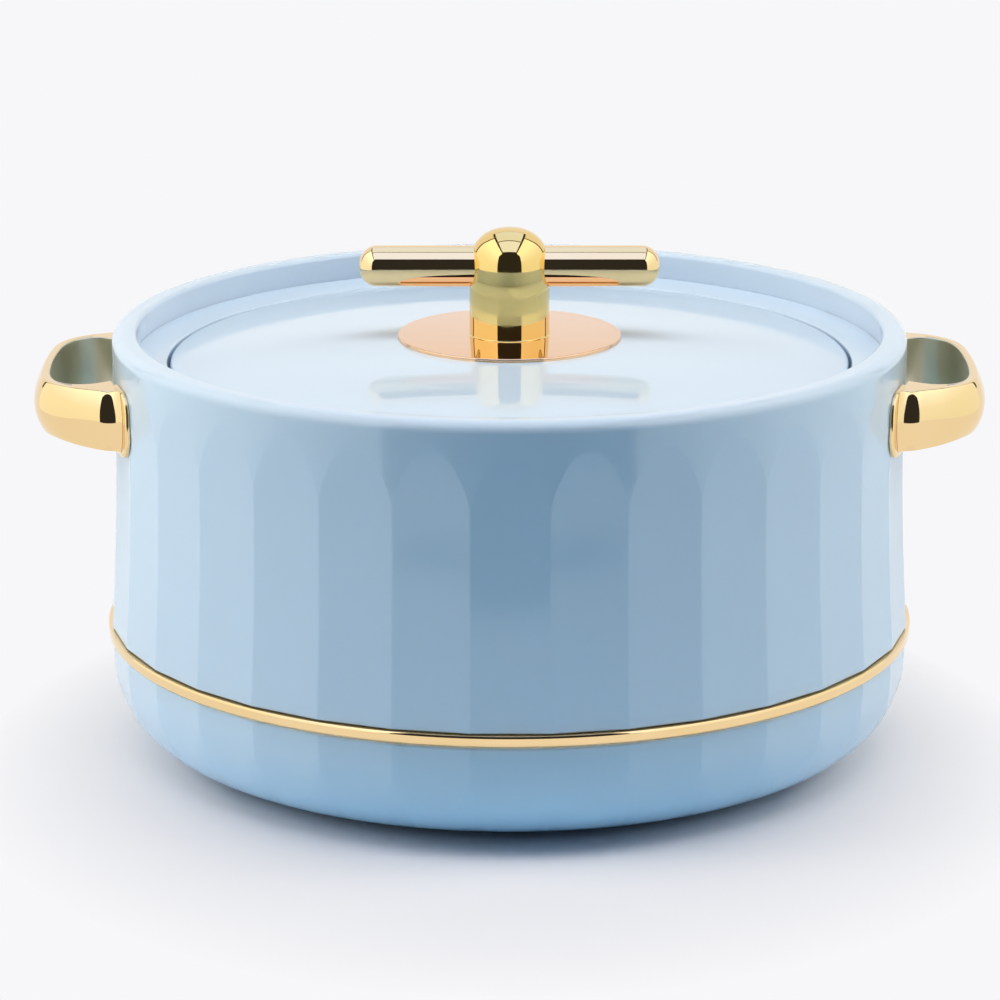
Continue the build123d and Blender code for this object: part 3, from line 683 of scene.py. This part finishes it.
# %% Smooth shading for the CAD nodes that show
for name, node in frame["nodes"].items():
    if node.hide_render:
        continue
    weld = node.modifiers.new("weld", "WELD")
    weld.merge_threshold = 0.002 * MM
    split = node.modifiers.new("edges", "EDGE_SPLIT")
    split.split_angle = math.radians(30)
    node.data.polygons.foreach_set("use_smooth", np.ones(len(node.data.polygons), dtype=bool))
print("kept CAD nodes:", [n for n, node in frame["nodes"].items() if not node.hide_render])

# %% [markdown]
# ## A short way to write shader nodes
# A material is a small network. `put` makes one node, sets its own settings, and fills its inputs
# with numbers or with the outputs of other nodes, so that a network reads like a recipe.


# %% Node helpers
def put(tree, kind, inputs=None, **settings):
    """One node. Inputs are given by name or number; a socket is linked, a value is set."""
    made = tree.nodes.new(kind)
    for name, value in settings.items():
        setattr(made, name, value)
    for name, value in (inputs or {}).items():
        if isinstance(value, bpy.types.NodeSocket):
            tree.links.new(value, made.inputs[name])
        else:
            made.inputs[name].default_value = value
    return made


def math_node(tree, operation, a, b=0.0):
    """One sum, product or comparison of two values."""
    return put(tree, "ShaderNodeMath", {0: a, 1: b}, operation=operation).outputs[0]


def times_plus(tree, value, factor, base):
    """value x factor + base; each may be a number or a socket."""
    inputs = {0: value, 1: factor, 2: base}
    return put(tree, "ShaderNodeMath", inputs, operation="MULTIPLY_ADD").outputs[0]


def vector_math(tree, operation, a, b=(0, 0, 0)):
    """One step of vector arithmetic; LENGTH and DOT_PRODUCT give a value, the rest a vector."""
    made = put(tree, "ShaderNodeVectorMath", {0: a, 1: b}, operation=operation).outputs
    return made["Value"] if operation in ("LENGTH", "DOT_PRODUCT") else made[0]


def noise(tree, where, scale, detail=2.0, distortion=0.0):
    """Soft cloudy noise between 0 and 1."""
    inputs = {"Vector": where, "Scale": scale, "Detail": detail, "Distortion": distortion}
    return put(tree, "ShaderNodeTexNoise", inputs).outputs


def parts_of(tree, vector):
    """The x, y and z of a vector."""
    return put(tree, "ShaderNodeSeparateXYZ", {0: vector}).outputs


def remap(tree, value, low, high, to_low, to_high):
    """The value's range low..high becomes to_low..to_high, without going past its ends."""
    inputs = {0: value, 1: low, 2: high, 3: to_low, 4: to_high}
    return put(tree, "ShaderNodeMapRange", inputs).outputs[0]


def blend_colours(tree, share, first, second):
    """A colour between two, by a mask."""
    return put(tree, "ShaderNodeMix", {0: share, 6: first, 7: second}, data_type="RGBA").outputs[2]


def effect(name, inputs, outputs):
    """An empty node group with named inputs (name: default) and named outputs."""
    group = bpy.data.node_groups.new(name, "ShaderNodeTree")
    for label, value in inputs.items():
        kind = "NodeSocketVector" if label == "Vector" else "NodeSocketFloat"
        socket = group.interface.new_socket(label, in_out="INPUT", socket_type=kind)
        if label != "Vector":
            socket.default_value = value
    for label in outputs:
        group.interface.new_socket(label, in_out="OUTPUT", socket_type="NodeSocketFloat")
    return group, group.nodes.new("NodeGroupInput").outputs, group.nodes.new("NodeGroupOutput").inputs


# %% [markdown]
# ## Effects that several finishes share
# Real gloss is never perfectly even. Four small effects are built once as node groups: the soft
# waviness of a moulded or polished surface, the faint smudges and hairlines of handling, the fine
# lines of spun metal, and settled dust. Each material gives them its own values.

# %% Soft waviness
wave_inputs = {"Vector": None, "Size": 400.0, "Fine": 0.35}
soft_waves, given, out = effect("soft waviness", wave_inputs, ["Height"])
broad = noise(soft_waves, given["Vector"], given["Size"], 1.0)[0]
fine_size = math_node(soft_waves, "MULTIPLY", given["Size"], 4.3)
fine = noise(soft_waves, given["Vector"], fine_size, 0.0)[0]
soft_waves.links.new(times_plus(soft_waves, fine, given["Fine"], broad), out["Height"])

# %% Handling marks: smudges and hairlines
mark_inputs = {"Vector": None, "Size": 14.0}
handling, given, out = effect("handling marks", mark_inputs, ["Smudge", "Hairlines"])
cloud = noise(handling, given["Vector"], given["Size"], 5.0, 0.8)[0]
handling.links.new(remap(handling, cloud, 0.52, 0.78, 0, 1), out["Smudge"])
bent = noise(handling, given["Vector"], 9.0)[1]
drift = vector_math(handling, "MULTIPLY", bent, (0.05, 0.05, 0.05))
moved = vector_math(handling, "ADD", given["Vector"], drift)
HAIR_STRETCH = (14, 900, 60)
hairs = []
for turn in (0.4, 1.9):
    stretch = {"Vector": moved, "Rotation": (turn, 0.7, turn), "Scale": HAIR_STRETCH}
    streak = put(handling, "ShaderNodeMapping", stretch).outputs[0]
    hairs.append(remap(handling, noise(handling, streak, 1.0, 0.0)[0], 0.74, 0.8, 0, 1))
handling.links.new(math_node(handling, "MAXIMUM", *hairs), out["Hairlines"])

# %% Lines of spun metal
spun, given, out = effect("spun lines", {"Vector": None, "Fineness": 2200.0}, ["Lines"])
x, y, z = parts_of(spun, given["Vector"])
flat = put(spun, "ShaderNodeCombineXYZ", {0: x, 1: y}).outputs[0]
across = math_node(spun, "MULTIPLY", vector_math(spun, "LENGTH", flat), given["Fineness"])
tall = math_node(spun, "MULTIPLY", z, given["Fineness"])
along = math_node(spun, "MULTIPLY", math_node(spun, "ARCTAN2", y, x), 2.0)
unrolled = put(spun, "ShaderNodeCombineXYZ", {0: across, 1: tall, 2: along}).outputs[0]
spun.links.new(noise(spun, unrolled, 1.0, 3.0)[0], out["Lines"])

# %% Settled dust
dusty, given, out = effect("settled dust", {"Vector": None, "Specks": 900.0}, ["Mask"])
facing = parts_of(dusty, put(dusty, "ShaderNodeNewGeometry").outputs["Normal"])
upward = remap(dusty, facing[2], 0.6, 1.0, 0, 1)
speck = put(dusty, "ShaderNodeTexVoronoi", {"Vector": given["Vector"], "Scale": given["Specks"]})
near_speck = remap(dusty, speck.outputs["Distance"], 0.05, 0.16, 1, 0)
sparse = remap(dusty, noise(dusty, given["Vector"], 70.0)[0], 0.58, 0.72, 0, 1)
specks = math_node(dusty, "MULTIPLY", near_speck, sparse)
dusty.links.new(math_node(dusty, "MULTIPLY", specks, upward), out["Mask"])
print("effects:", [group.name for group in bpy.data.node_groups])

# %% [markdown]
# ## Finishes
# Each finish starts from the same frame: a Principled shader, object coordinates, and a bump. What
# differs is what the noise drives and how far. Constants such as the index of refraction are set
# on the shader itself.


# %% Starting a finish
def finish(name, **shader):
    """A new material: its node tree, its shader, and the object coordinates."""
    material = bpy.data.materials.new(name)
    material.use_nodes = True
    tree = material.node_tree
    principled = tree.nodes["Principled BSDF"]
    for socket, value in shader.items():
        principled.inputs[socket.replace("_", " ")].default_value = value
    where = tree.nodes.new("ShaderNodeTexCoord").outputs["Object"]
    return material, tree, principled, where


def group_node(tree, group, where, **inputs):
    """An effect placed in a material, reading the given coordinates."""
    made = put(tree, "ShaderNodeGroup", node_tree=group)
    tree.links.new(where, made.inputs["Vector"])
    for name, value in inputs.items():
        made.inputs[name].default_value = value
    return made.outputs


def add_bump(tree, principled, height, depth_mm, strength=1.0):
    """The height becomes a relief that is depth_mm deep."""
    inputs = {"Height": height, "Distance": depth_mm * MM, "Strength": strength}
    tree.links.new(put(tree, "ShaderNodeBump", inputs).outputs[0], principled.inputs["Normal"])


def worn(tree, marks, smudge, hairlines, base):
    """Roughness base, raised by smudges and hairlines."""
    smudged = times_plus(tree, marks["Smudge"], smudge, base)
    return times_plus(tree, marks["Hairlines"], hairlines, smudged)


def patterned(tree, shader, pattern, first, second, rough_range):
    """Colour and roughness that follow one pattern; rough_range goes to remap."""
    tree.links.new(blend_colours(tree, pattern, first, second), shader.inputs["Base Color"])
    tree.links.new(remap(tree, pattern, *rough_range), shader.inputs["Roughness"])


# %% [markdown]
# ### Glossy plastic
# Injection-moulded plastic is even in colour, with a very faint cloudiness where the melt flowed,
# and a skin so glossy that it mirrors. Smudges and hairlines only nudge its roughness.

# %% Glossy plastic
plastic, tree, shader, where = finish("glossy pale blue", IOR=1.58)
tint = remap(tree, noise(tree, where, 9.0, 3.0)[0], 0.3, 0.7, 0, 1)
blue = blend_colours(tree, tint, (0.625, 0.742, 0.876, 1), (0.645, 0.762, 0.896, 1))
dust_mask = group_node(tree, dusty, where)["Mask"]
faint_dust = math_node(tree, "MULTIPLY", dust_mask, 0.25)
dusted = blend_colours(tree, faint_dust, blue, (0.8, 0.8, 0.78, 1))
tree.links.new(dusted, shader.inputs["Base Color"])
handled = worn(tree, group_node(tree, handling, where), 0.03, 0.03, 0.05)
tree.links.new(times_plus(tree, dust_mask, 0.3, handled), shader.inputs["Roughness"])
add_bump(tree, shader, group_node(tree, soft_waves, where, Size=420.0)["Height"], 0.0006)

# %% [markdown]
# ### Polished gold and rose gold
# Plated metal is a mirror with a colour. Polishing leaves it slightly wavy at the scale of the
# buffing wheel, and its plating is a touch deeper in colour here and there. On the faces that look
# into the loops the colour is darker and greyer, a painted shade and painted reflection of the
# shaded blue body, and the roughness is higher. All golds are the same recipe with other
# colours.


# %% Polished golds
LOOP_X = 0.122
# Darker, greyer gold for the inner faces of the loops: painted shade and painted reflection of the
# shaded body.
PAINTED_SHADE_IN_LOOP = (0.62, 0.58, 0.43, 1)


def inside_of_loop(tree, where):
    """1 where the surface faces the middle of its loop, which lies LOOP_X from the axis."""
    x, y, _ = parts_of(tree, where)
    middle_x = math_node(tree, "MULTIPLY", math_node(tree, "SIGN", x), LOOP_X)
    arm_x = math_node(tree, "SUBTRACT", x, middle_x)
    arm = put(tree, "ShaderNodeCombineXYZ", {0: arm_x, 1: y}).outputs[0]
    normal = tree.nodes.new("ShaderNodeTexCoord").outputs["Normal"]
    return remap(tree, vector_math(tree, "DOT_PRODUCT", arm, normal), -0.004, -0.01, 0, 1)


def polished(name, light, deep, waviness, painted_shade_and_rough_part=None):
    """Plated mirror metal: two close colours by a slow noise, faint marks, and soft waves.

    The last argument, if given, draws a mask in the tree; where it is 1, the metal gets a darker,
    greyer colour, which is painted shade, and a higher roughness.
    """
    material, tree, shader, where = finish(name, Metallic=1.0)
    slow = remap(tree, noise(tree, where, 35.0)[0], 0.35, 0.65, 0, 1)
    colour = blend_colours(tree, slow, light, deep)
    rough = worn(tree, group_node(tree, handling, where, Size=30.0), 0.04, 0.06, 0.035)
    if painted_shade_and_rough_part:
        mask = painted_shade_and_rough_part(tree, where)
        # Painted shade: where the mask is 1, the colour turns darker and greyer.
        colour = blend_colours(tree, mask, colour, PAINTED_SHADE_IN_LOOP)
        rough = times_plus(tree, mask, 0.3, rough)
    tree.links.new(colour, shader.inputs["Base Color"])
    tree.links.new(rough, shader.inputs["Roughness"])
    waves = group_node(tree, soft_waves, where, Size=90.0, Fine=0.12)["Height"]
    add_bump(tree, shader, waves, waviness)
    return material


gold_tones = (0.93, 0.69, 0.37, 1), (0.91, 0.665, 0.34, 1)
gold = polished("polished gold", *gold_tones, 0.003)
loop_gold = polished("polished gold, painted shade inside", *gold_tones, 0.003, inside_of_loop)
deep_gold = polished("deep polished gold", (0.91, 0.65, 0.25, 1), (0.89, 0.625, 0.225, 1), 0.003)
rose = polished("polished rose gold", (0.93, 0.60, 0.37, 1), (0.91, 0.575, 0.345, 1), 0.002)

# %% [markdown]
# ### Spun steel
# The bowl and the lid's pan are drawn and then brushed on a spindle, so fine lines run round the
# axis. They drive the colour, the roughness and a very shallow relief.


# %% Steels
def brushed(name, colour, rough, depth, fineness):
    """Steel with lines round the axis in its colour, roughness and relief."""
    material, tree, shader, where = finish(name, Metallic=1.0)
    lines = group_node(tree, spun, where, Fineness=fineness)["Lines"]
    darker = tuple(0.88 * part for part in colour[:3]) + (1,)
    tree.links.new(blend_colours(tree, lines, colour, darker), shader.inputs["Base Color"])
    smudge = group_node(tree, handling, where)["Smudge"]
    base = remap(tree, lines, 0.3, 0.7, rough, rough + 0.14)
    tree.links.new(times_plus(tree, smudge, 0.05, base), shader.inputs["Roughness"])
    add_bump(tree, shader, lines, depth, 0.6)
    return material


steel = brushed("spun stainless steel", (0.70, 0.69, 0.67, 1), 0.2, 0.01, 2200.0)
zinc = brushed("zinc-plated steel", (0.62, 0.63, 0.66, 1), 0.3, 0.01, 900.0)

# %% [markdown]
# ### Rubber, silicone, matt plastic and foam
# The soft and hidden pieces are matt. Silicone lets a little light in; rubber is even and grainy;
# foam shows its cells.

# %% Soft and matt finishes
silicone, tree, shader, where = finish(
    "white silicone", IOR=1.41, Subsurface_Weight=0.15, Subsurface_Scale=0.004
)
milky = noise(tree, where, 60.0, 3.0)[0]
patterned(tree, shader, milky, (0.72, 0.75, 0.77, 1), (0.8, 0.82, 0.83, 1), (0.3, 0.7, 0.36, 0.48))
add_bump(tree, shader, group_node(tree, soft_waves, where, Size=900.0)["Height"], 0.004)

rubber, tree, shader, where = finish("soft grey rubber", IOR=1.48)
grain = group_node(tree, soft_waves, where, Size=1800.0, Fine=0.8)["Height"]
patterned(tree, shader, grain, (0.17, 0.19, 0.21, 1), (0.24, 0.26, 0.29, 1), (0.3, 1.0, 0.6, 0.8))
add_bump(tree, shader, grain, 0.03)

matt, tree, shader, where = finish("matt pale blue", IOR=1.5)
grain = group_node(tree, soft_waves, where, Size=2400.0, Fine=0.9)["Height"]
patterned(tree, shader, grain, (0.38, 0.55, 0.69, 1), (0.42, 0.6, 0.74, 1), (0.3, 1.0, 0.42, 0.55))
add_bump(tree, shader, grain, 0.02)

foam, tree, shader, where = finish("cream rigid foam", IOR=1.4)
cell_inputs = {"Vector": where, "Scale": 1100.0}
cells = put(tree, "ShaderNodeTexVoronoi", cell_inputs, feature="SMOOTH_F1").outputs[0]
patterned(tree, shader, cells, (0.84, 0.78, 0.62, 1), (0.66, 0.58, 0.42, 1), (0, 0.8, 0.95, 0.8))
add_bump(tree, shader, cells, 0.25)

# %% Dressing every piece by its slot
finishes = {
    "shell_plastic": plastic,
    "polished_gold": gold,
    "rose_gold": rose,
    "stainless_steel": steel,
    "foam": foam,
    "plug_plastic": matt,
    "grey_rubber": rubber,
    "silicone": silicone,
    "screw_steel": zinc,
}
own_finish = {"grip_post": deep_gold}
own_finish |= {f"loop_handle_{side}": loop_gold for side in ("left", "right")}
node_slots = {part["node"]: part["material_slot"] for part in frame["record"]["subparts"]}
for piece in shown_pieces():
    slot = piece.get("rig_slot") or node_slots[piece["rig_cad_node"]]
    chosen = own_finish.get(piece.name, finishes[slot])
    piece.data.materials.clear()
    piece.data.materials.append(chosen)
    print(f"{piece.name}: {chosen.name}")

# %% [markdown]
# ## Studio
# Glossy things show the room, so the room is part of the look. Two kinds of light share the work.
# Area lamps light the matt part of every surface and stay out of reflections. Glowing panels are
# what the gloss and the metal mirror: a tall one and a slanted shoulder left and right, two
# overhead, and the dark end of the studio in front. Thin dark edges part the panels, and show in
# the metal as dark lines.

# %% Seen by the camera, by gloss and through glass
PALE = (0.930, 0.930, 0.947, 1)


def seen_directly(tree):
    """1 for camera, glossy and transmission rays, 0 for the rays that only carry light."""
    path = put(tree, "ShaderNodeLightPath").outputs
    mirrored = math_node(tree, "MAXIMUM", path["Is Glossy Ray"], path["Is Transmission Ray"])
    return math_node(tree, "MAXIMUM", path["Is Camera Ray"], mirrored)


def mix_shaders(tree, share, first, second):
    """A shader between two, by a share."""
    inputs = {0: share, 1: first.outputs[0], 2: second.outputs[0]}
    return put(tree, "ShaderNodeMixShader", inputs)


def bare_tree(owner):
    """The emptied node tree of a material or world."""
    owner.use_nodes = True
    owner.node_tree.nodes.clear()
    return owner.node_tree


def stage_piece(name, grid, material):
    """A piece of the studio: its mesh from one grid and its material."""
    piece = bpy.data.objects.new(name, sew(name, [grid]))
    bpy.context.scene.collection.objects.link(piece)
    piece.data.materials.append(material)
    return piece


# %% [markdown]
# The floor is pale and matt where it is near, so it takes the shadow, and melts into the backdrop
# further out. The light that it throws back at the casserole is dimmer and cooler than the floor
# looks, as over a wide table in a dark room. In reflections it ends like that table, and the panels
# go on below its edge.

# %% Floor
SHADOW_Y, SQUASH = -0.035, 1.15
SHADOW_R, MELTED_R = 0.10, 0.19
TABLE_HALF, TABLE_FRONT = 0.50, -0.43
BOUNCED, SEEN = (0.51, 0.80, 1.0, 1), (0.74, 0.735, 0.78, 1)
ground = bpy.data.materials.new("pale floor")
tree = bare_tree(ground)
where = tree.nodes.new("ShaderNodeTexCoord").outputs["Object"]
from_shadow = vector_math(tree, "ADD", where, (0, -SHADOW_Y, 0))
distance = vector_math(tree, "LENGTH", vector_math(tree, "MULTIPLY", from_shadow, (SQUASH, 1, 1)))
seen = seen_directly(tree)
share = math_node(tree, "MULTIPLY", remap(tree, distance, SHADOW_R, MELTED_R, 0, 1), seen)
lit = put(tree, "ShaderNodeBsdfDiffuse", {"Color": blend_colours(tree, seen, BOUNCED, SEEN)})
glow = put(tree, "ShaderNodeEmission", {"Color": PALE, "Strength": 1.0})
x, y, _ = parts_of(tree, where)
aside = remap(tree, math_node(tree, "ABSOLUTE", x), TABLE_HALF, TABLE_HALF + 0.01, 0, 1)
before = remap(tree, y, TABLE_FRONT - 0.01, TABLE_FRONT, 1, 0)
off_table = math_node(tree, "MAXIMUM", aside, before)
mirrored = put(tree, "ShaderNodeLightPath").outputs["Is Glossy Ray"]
hidden = math_node(tree, "MULTIPLY", off_table, mirrored)
clear = put(tree, "ShaderNodeBsdfTransparent")
ended = mix_shaders(tree, hidden, mix_shaders(tree, share, lit, glow), clear)
put(tree, "ShaderNodeOutputMaterial", {"Surface": ended.outputs[0]})
ring_r = np.concatenate([[0], np.geomspace(0.2, 9.0, 24)]) / MM
floor = stage_piece("floor", turned(np.stack([ring_r, np.zeros_like(ring_r)], -1), 96), ground)
if floor.data.polygons[0].normal.z < 0:
    floor.data.flip_normals()


# %% Lamps for the matt part of the light
def softbox(name, centre, target, width, height, brightness, colour):
    """An area lamp that glows with the given brightness; its watts are brightness x pi x area."""
    lamp = bpy.data.lights.new(name, "AREA")
    lamp.shape, lamp.size, lamp.size_y = "RECTANGLE", width, height
    lamp.energy, lamp.color = brightness * math.pi * width * height, colour
    box = bpy.data.objects.new(name, lamp)
    bpy.context.scene.collection.objects.link(box)
    box.location = centre
    box.rotation_euler = (Vector(target) - Vector(centre)).to_track_quat("-Z", "Y").to_euler()
    box.visible_camera = box.visible_glossy = False
    print(f"{name}: {width} x {height} m, {lamp.energy:.1f} W")


WARM, NEUTRAL, COOL = (1, 0.927, 0.814), (1, 1, 0.884), (0.53, 0.67, 1)
for name, side, back, front in (("left", -1, 3.41, 4.83), ("right", 1, 4.74, 1.38)):
    softbox(f"softbox_{name}_back", (side, 0.2, 0.6), (0, 0.2, 0.6), 0.4, 1.1, back, WARM)
    softbox(f"softbox_{name}_front", (side, -0.15, 0.6), (0, -0.15, 0.6), 0.3, 1.1, front, WARM)
softbox("softbox_over", (0, -0.12, 0.9), (0, 0.12, 0.12), 1.2, 0.3, 4.21, NEUTRAL)
softbox("softbox_over_front", (0, -0.42, 1.5), (0, -0.42, 0), 1.2, 0.6, 2.3, COOL)


# %% Panels that the gloss mirrors
def glow_colour(tree, stops):
    """Colours at heights in metres, blended evenly between them."""
    height = parts_of(tree, tree.nodes.new("ShaderNodeTexCoord").outputs["Object"])[2]
    low, colour = stops[0][0], (*stops[0][1], 1)
    for high, next_colour in stops[1:]:
        share = remap(tree, height, low, high, 0, 1)
        colour = blend_colours(tree, share, colour, (*next_colour, 1))
        low = high
    return colour


def panel(name, middle, across, up, stops, margin=(0, 0), strength=1.0):
    """A glowing rectangle middle +- across +- up in metres, with a dark sheet just behind it.

    Its colours are given as (height, colour) stops. The dark sheet is wider than the panel by the
    two widths in `margin`, across and up; without a margin there is none.
    """
    middle, across, up = (np.array(part) / MM for part in (middle, across, up))
    s, t = np.linspace(-1, 1, 5)[:, None, None], np.linspace(-1, 1, 5)[None, :, None]
    behind = middle * BEHIND / np.linalg.norm(middle * MM)
    wider = 1 + margin[0] / MM / np.linalg.norm(across)
    taller = 1 + margin[1] / MM / np.linalg.norm(up)
    sheets = [("panel", stops, middle + across * s + up * t)]
    if max(margin) > 0:
        sheets.append(("edge", EDGE, middle + behind + across * s * wider + up * t * taller))
    for part, colours, grid in sheets:
        material = bpy.data.materials.new(f"{name} {part}")
        tree = bare_tree(material)
        inputs = {"Color": glow_colour(tree, colours), "Strength": strength}
        light = put(tree, "ShaderNodeEmission", inputs)
        put(tree, "ShaderNodeOutputMaterial", {"Surface": light.outputs[0]})
        sheet = stage_piece(f"{name}_{part}", grid, material)
        sheet.visible_camera = sheet.visible_diffuse = sheet.visible_shadow = False


BEHIND, MARGIN, DEPTH = 0.004, 0.12, (0, 0.95, 0)
EDGE = [(0, (0.045, 0.038, 0.03))]
OVER_FRONT, OVER_BACK = [(0, (1.0, 1.2, 1.9))], [(0, (0.9, 1.08, 1.5))]
DARK_END = [(0, (0.03, 0.03, 0.033))]
SIDE_GLOW = [
    (0, (1.15, 1.2, 1.12)),
    (0.35, (1.2, 1.25, 1.18)),
    (0.6, (1.3, 1.38, 1.45)),
    (1.0, (1.6, 1.65, 1.75)),
]
for name, side, strength in (("left", -1, 0.93), ("right", 1, 0.86)):
    wall, strip = (side * 0.9, -0.35, 0.375), (side * 0.9, 0.66, 0.66)
    shoulder, slant = (side * 0.78, -0.35, 1.26), (-side * 0.12, 0, 0.16)
    panel(f"side_{name}", wall, DEPTH, (0, 0, 0.725), SIDE_GLOW, strength=strength)
    panel(f"strip_{name}", strip, (0, 0.06, 0), (0, 0, 0.44), EDGE)
    panel(f"shoulder_{name}", shoulder, DEPTH, slant, SIDE_GLOW, (MARGIN, 0), strength)
panel("over_front", (0, -0.557, 1.5), (0.58, 0, 0), (0, 0.604, 0), OVER_FRONT, (MARGIN, 0.04))
panel("over_back", (0, 0.876, 1.5), (0.58, 0, 0), (0, 0.734, 0), OVER_BACK, (MARGIN, 0.04))
panel("dark_end", (0, -1.32, 0.595), (1.05, 0, 0), (0, 0, 1.095), DARK_END)

# %% [markdown]
# The world gives the even, cool light between the lamps. What the camera, metal and glass see of
# it is the pale backdrop; what lights the matt surfaces is dimmer.

# %% World
world = bpy.data.worlds.new("studio")
bpy.context.scene.world = world
tree = bare_tree(world)
fill = put(tree, "ShaderNodeBackground", {"Color": (0.6, 0.8, 1.0, 1), "Strength": 0.03})
backdrop = put(tree, "ShaderNodeBackground", {"Color": PALE, "Strength": 1.0})
mixed = mix_shaders(tree, seen_directly(tree), fill, backdrop)
put(tree, "ShaderNodeOutputWorld", {"Surface": mixed.outputs[0]})

# %% Camera
SENSOR, FOCAL = 36.0, 144.5
EYE, DOWNWARD = (-0.0029, -1.2024, 0.409), 15.63
lens = bpy.data.cameras.new("camera")
lens.sensor_width, lens.lens = SENSOR, FOCAL
camera = bpy.data.objects.new("camera", lens)
camera.location = EYE
camera.rotation_euler = (math.radians(90 - DOWNWARD), 0, 0)
bpy.context.scene.collection.objects.link(camera)
bpy.context.scene.camera = camera
bpy.context.scene.view_settings.view_transform = "Standard"
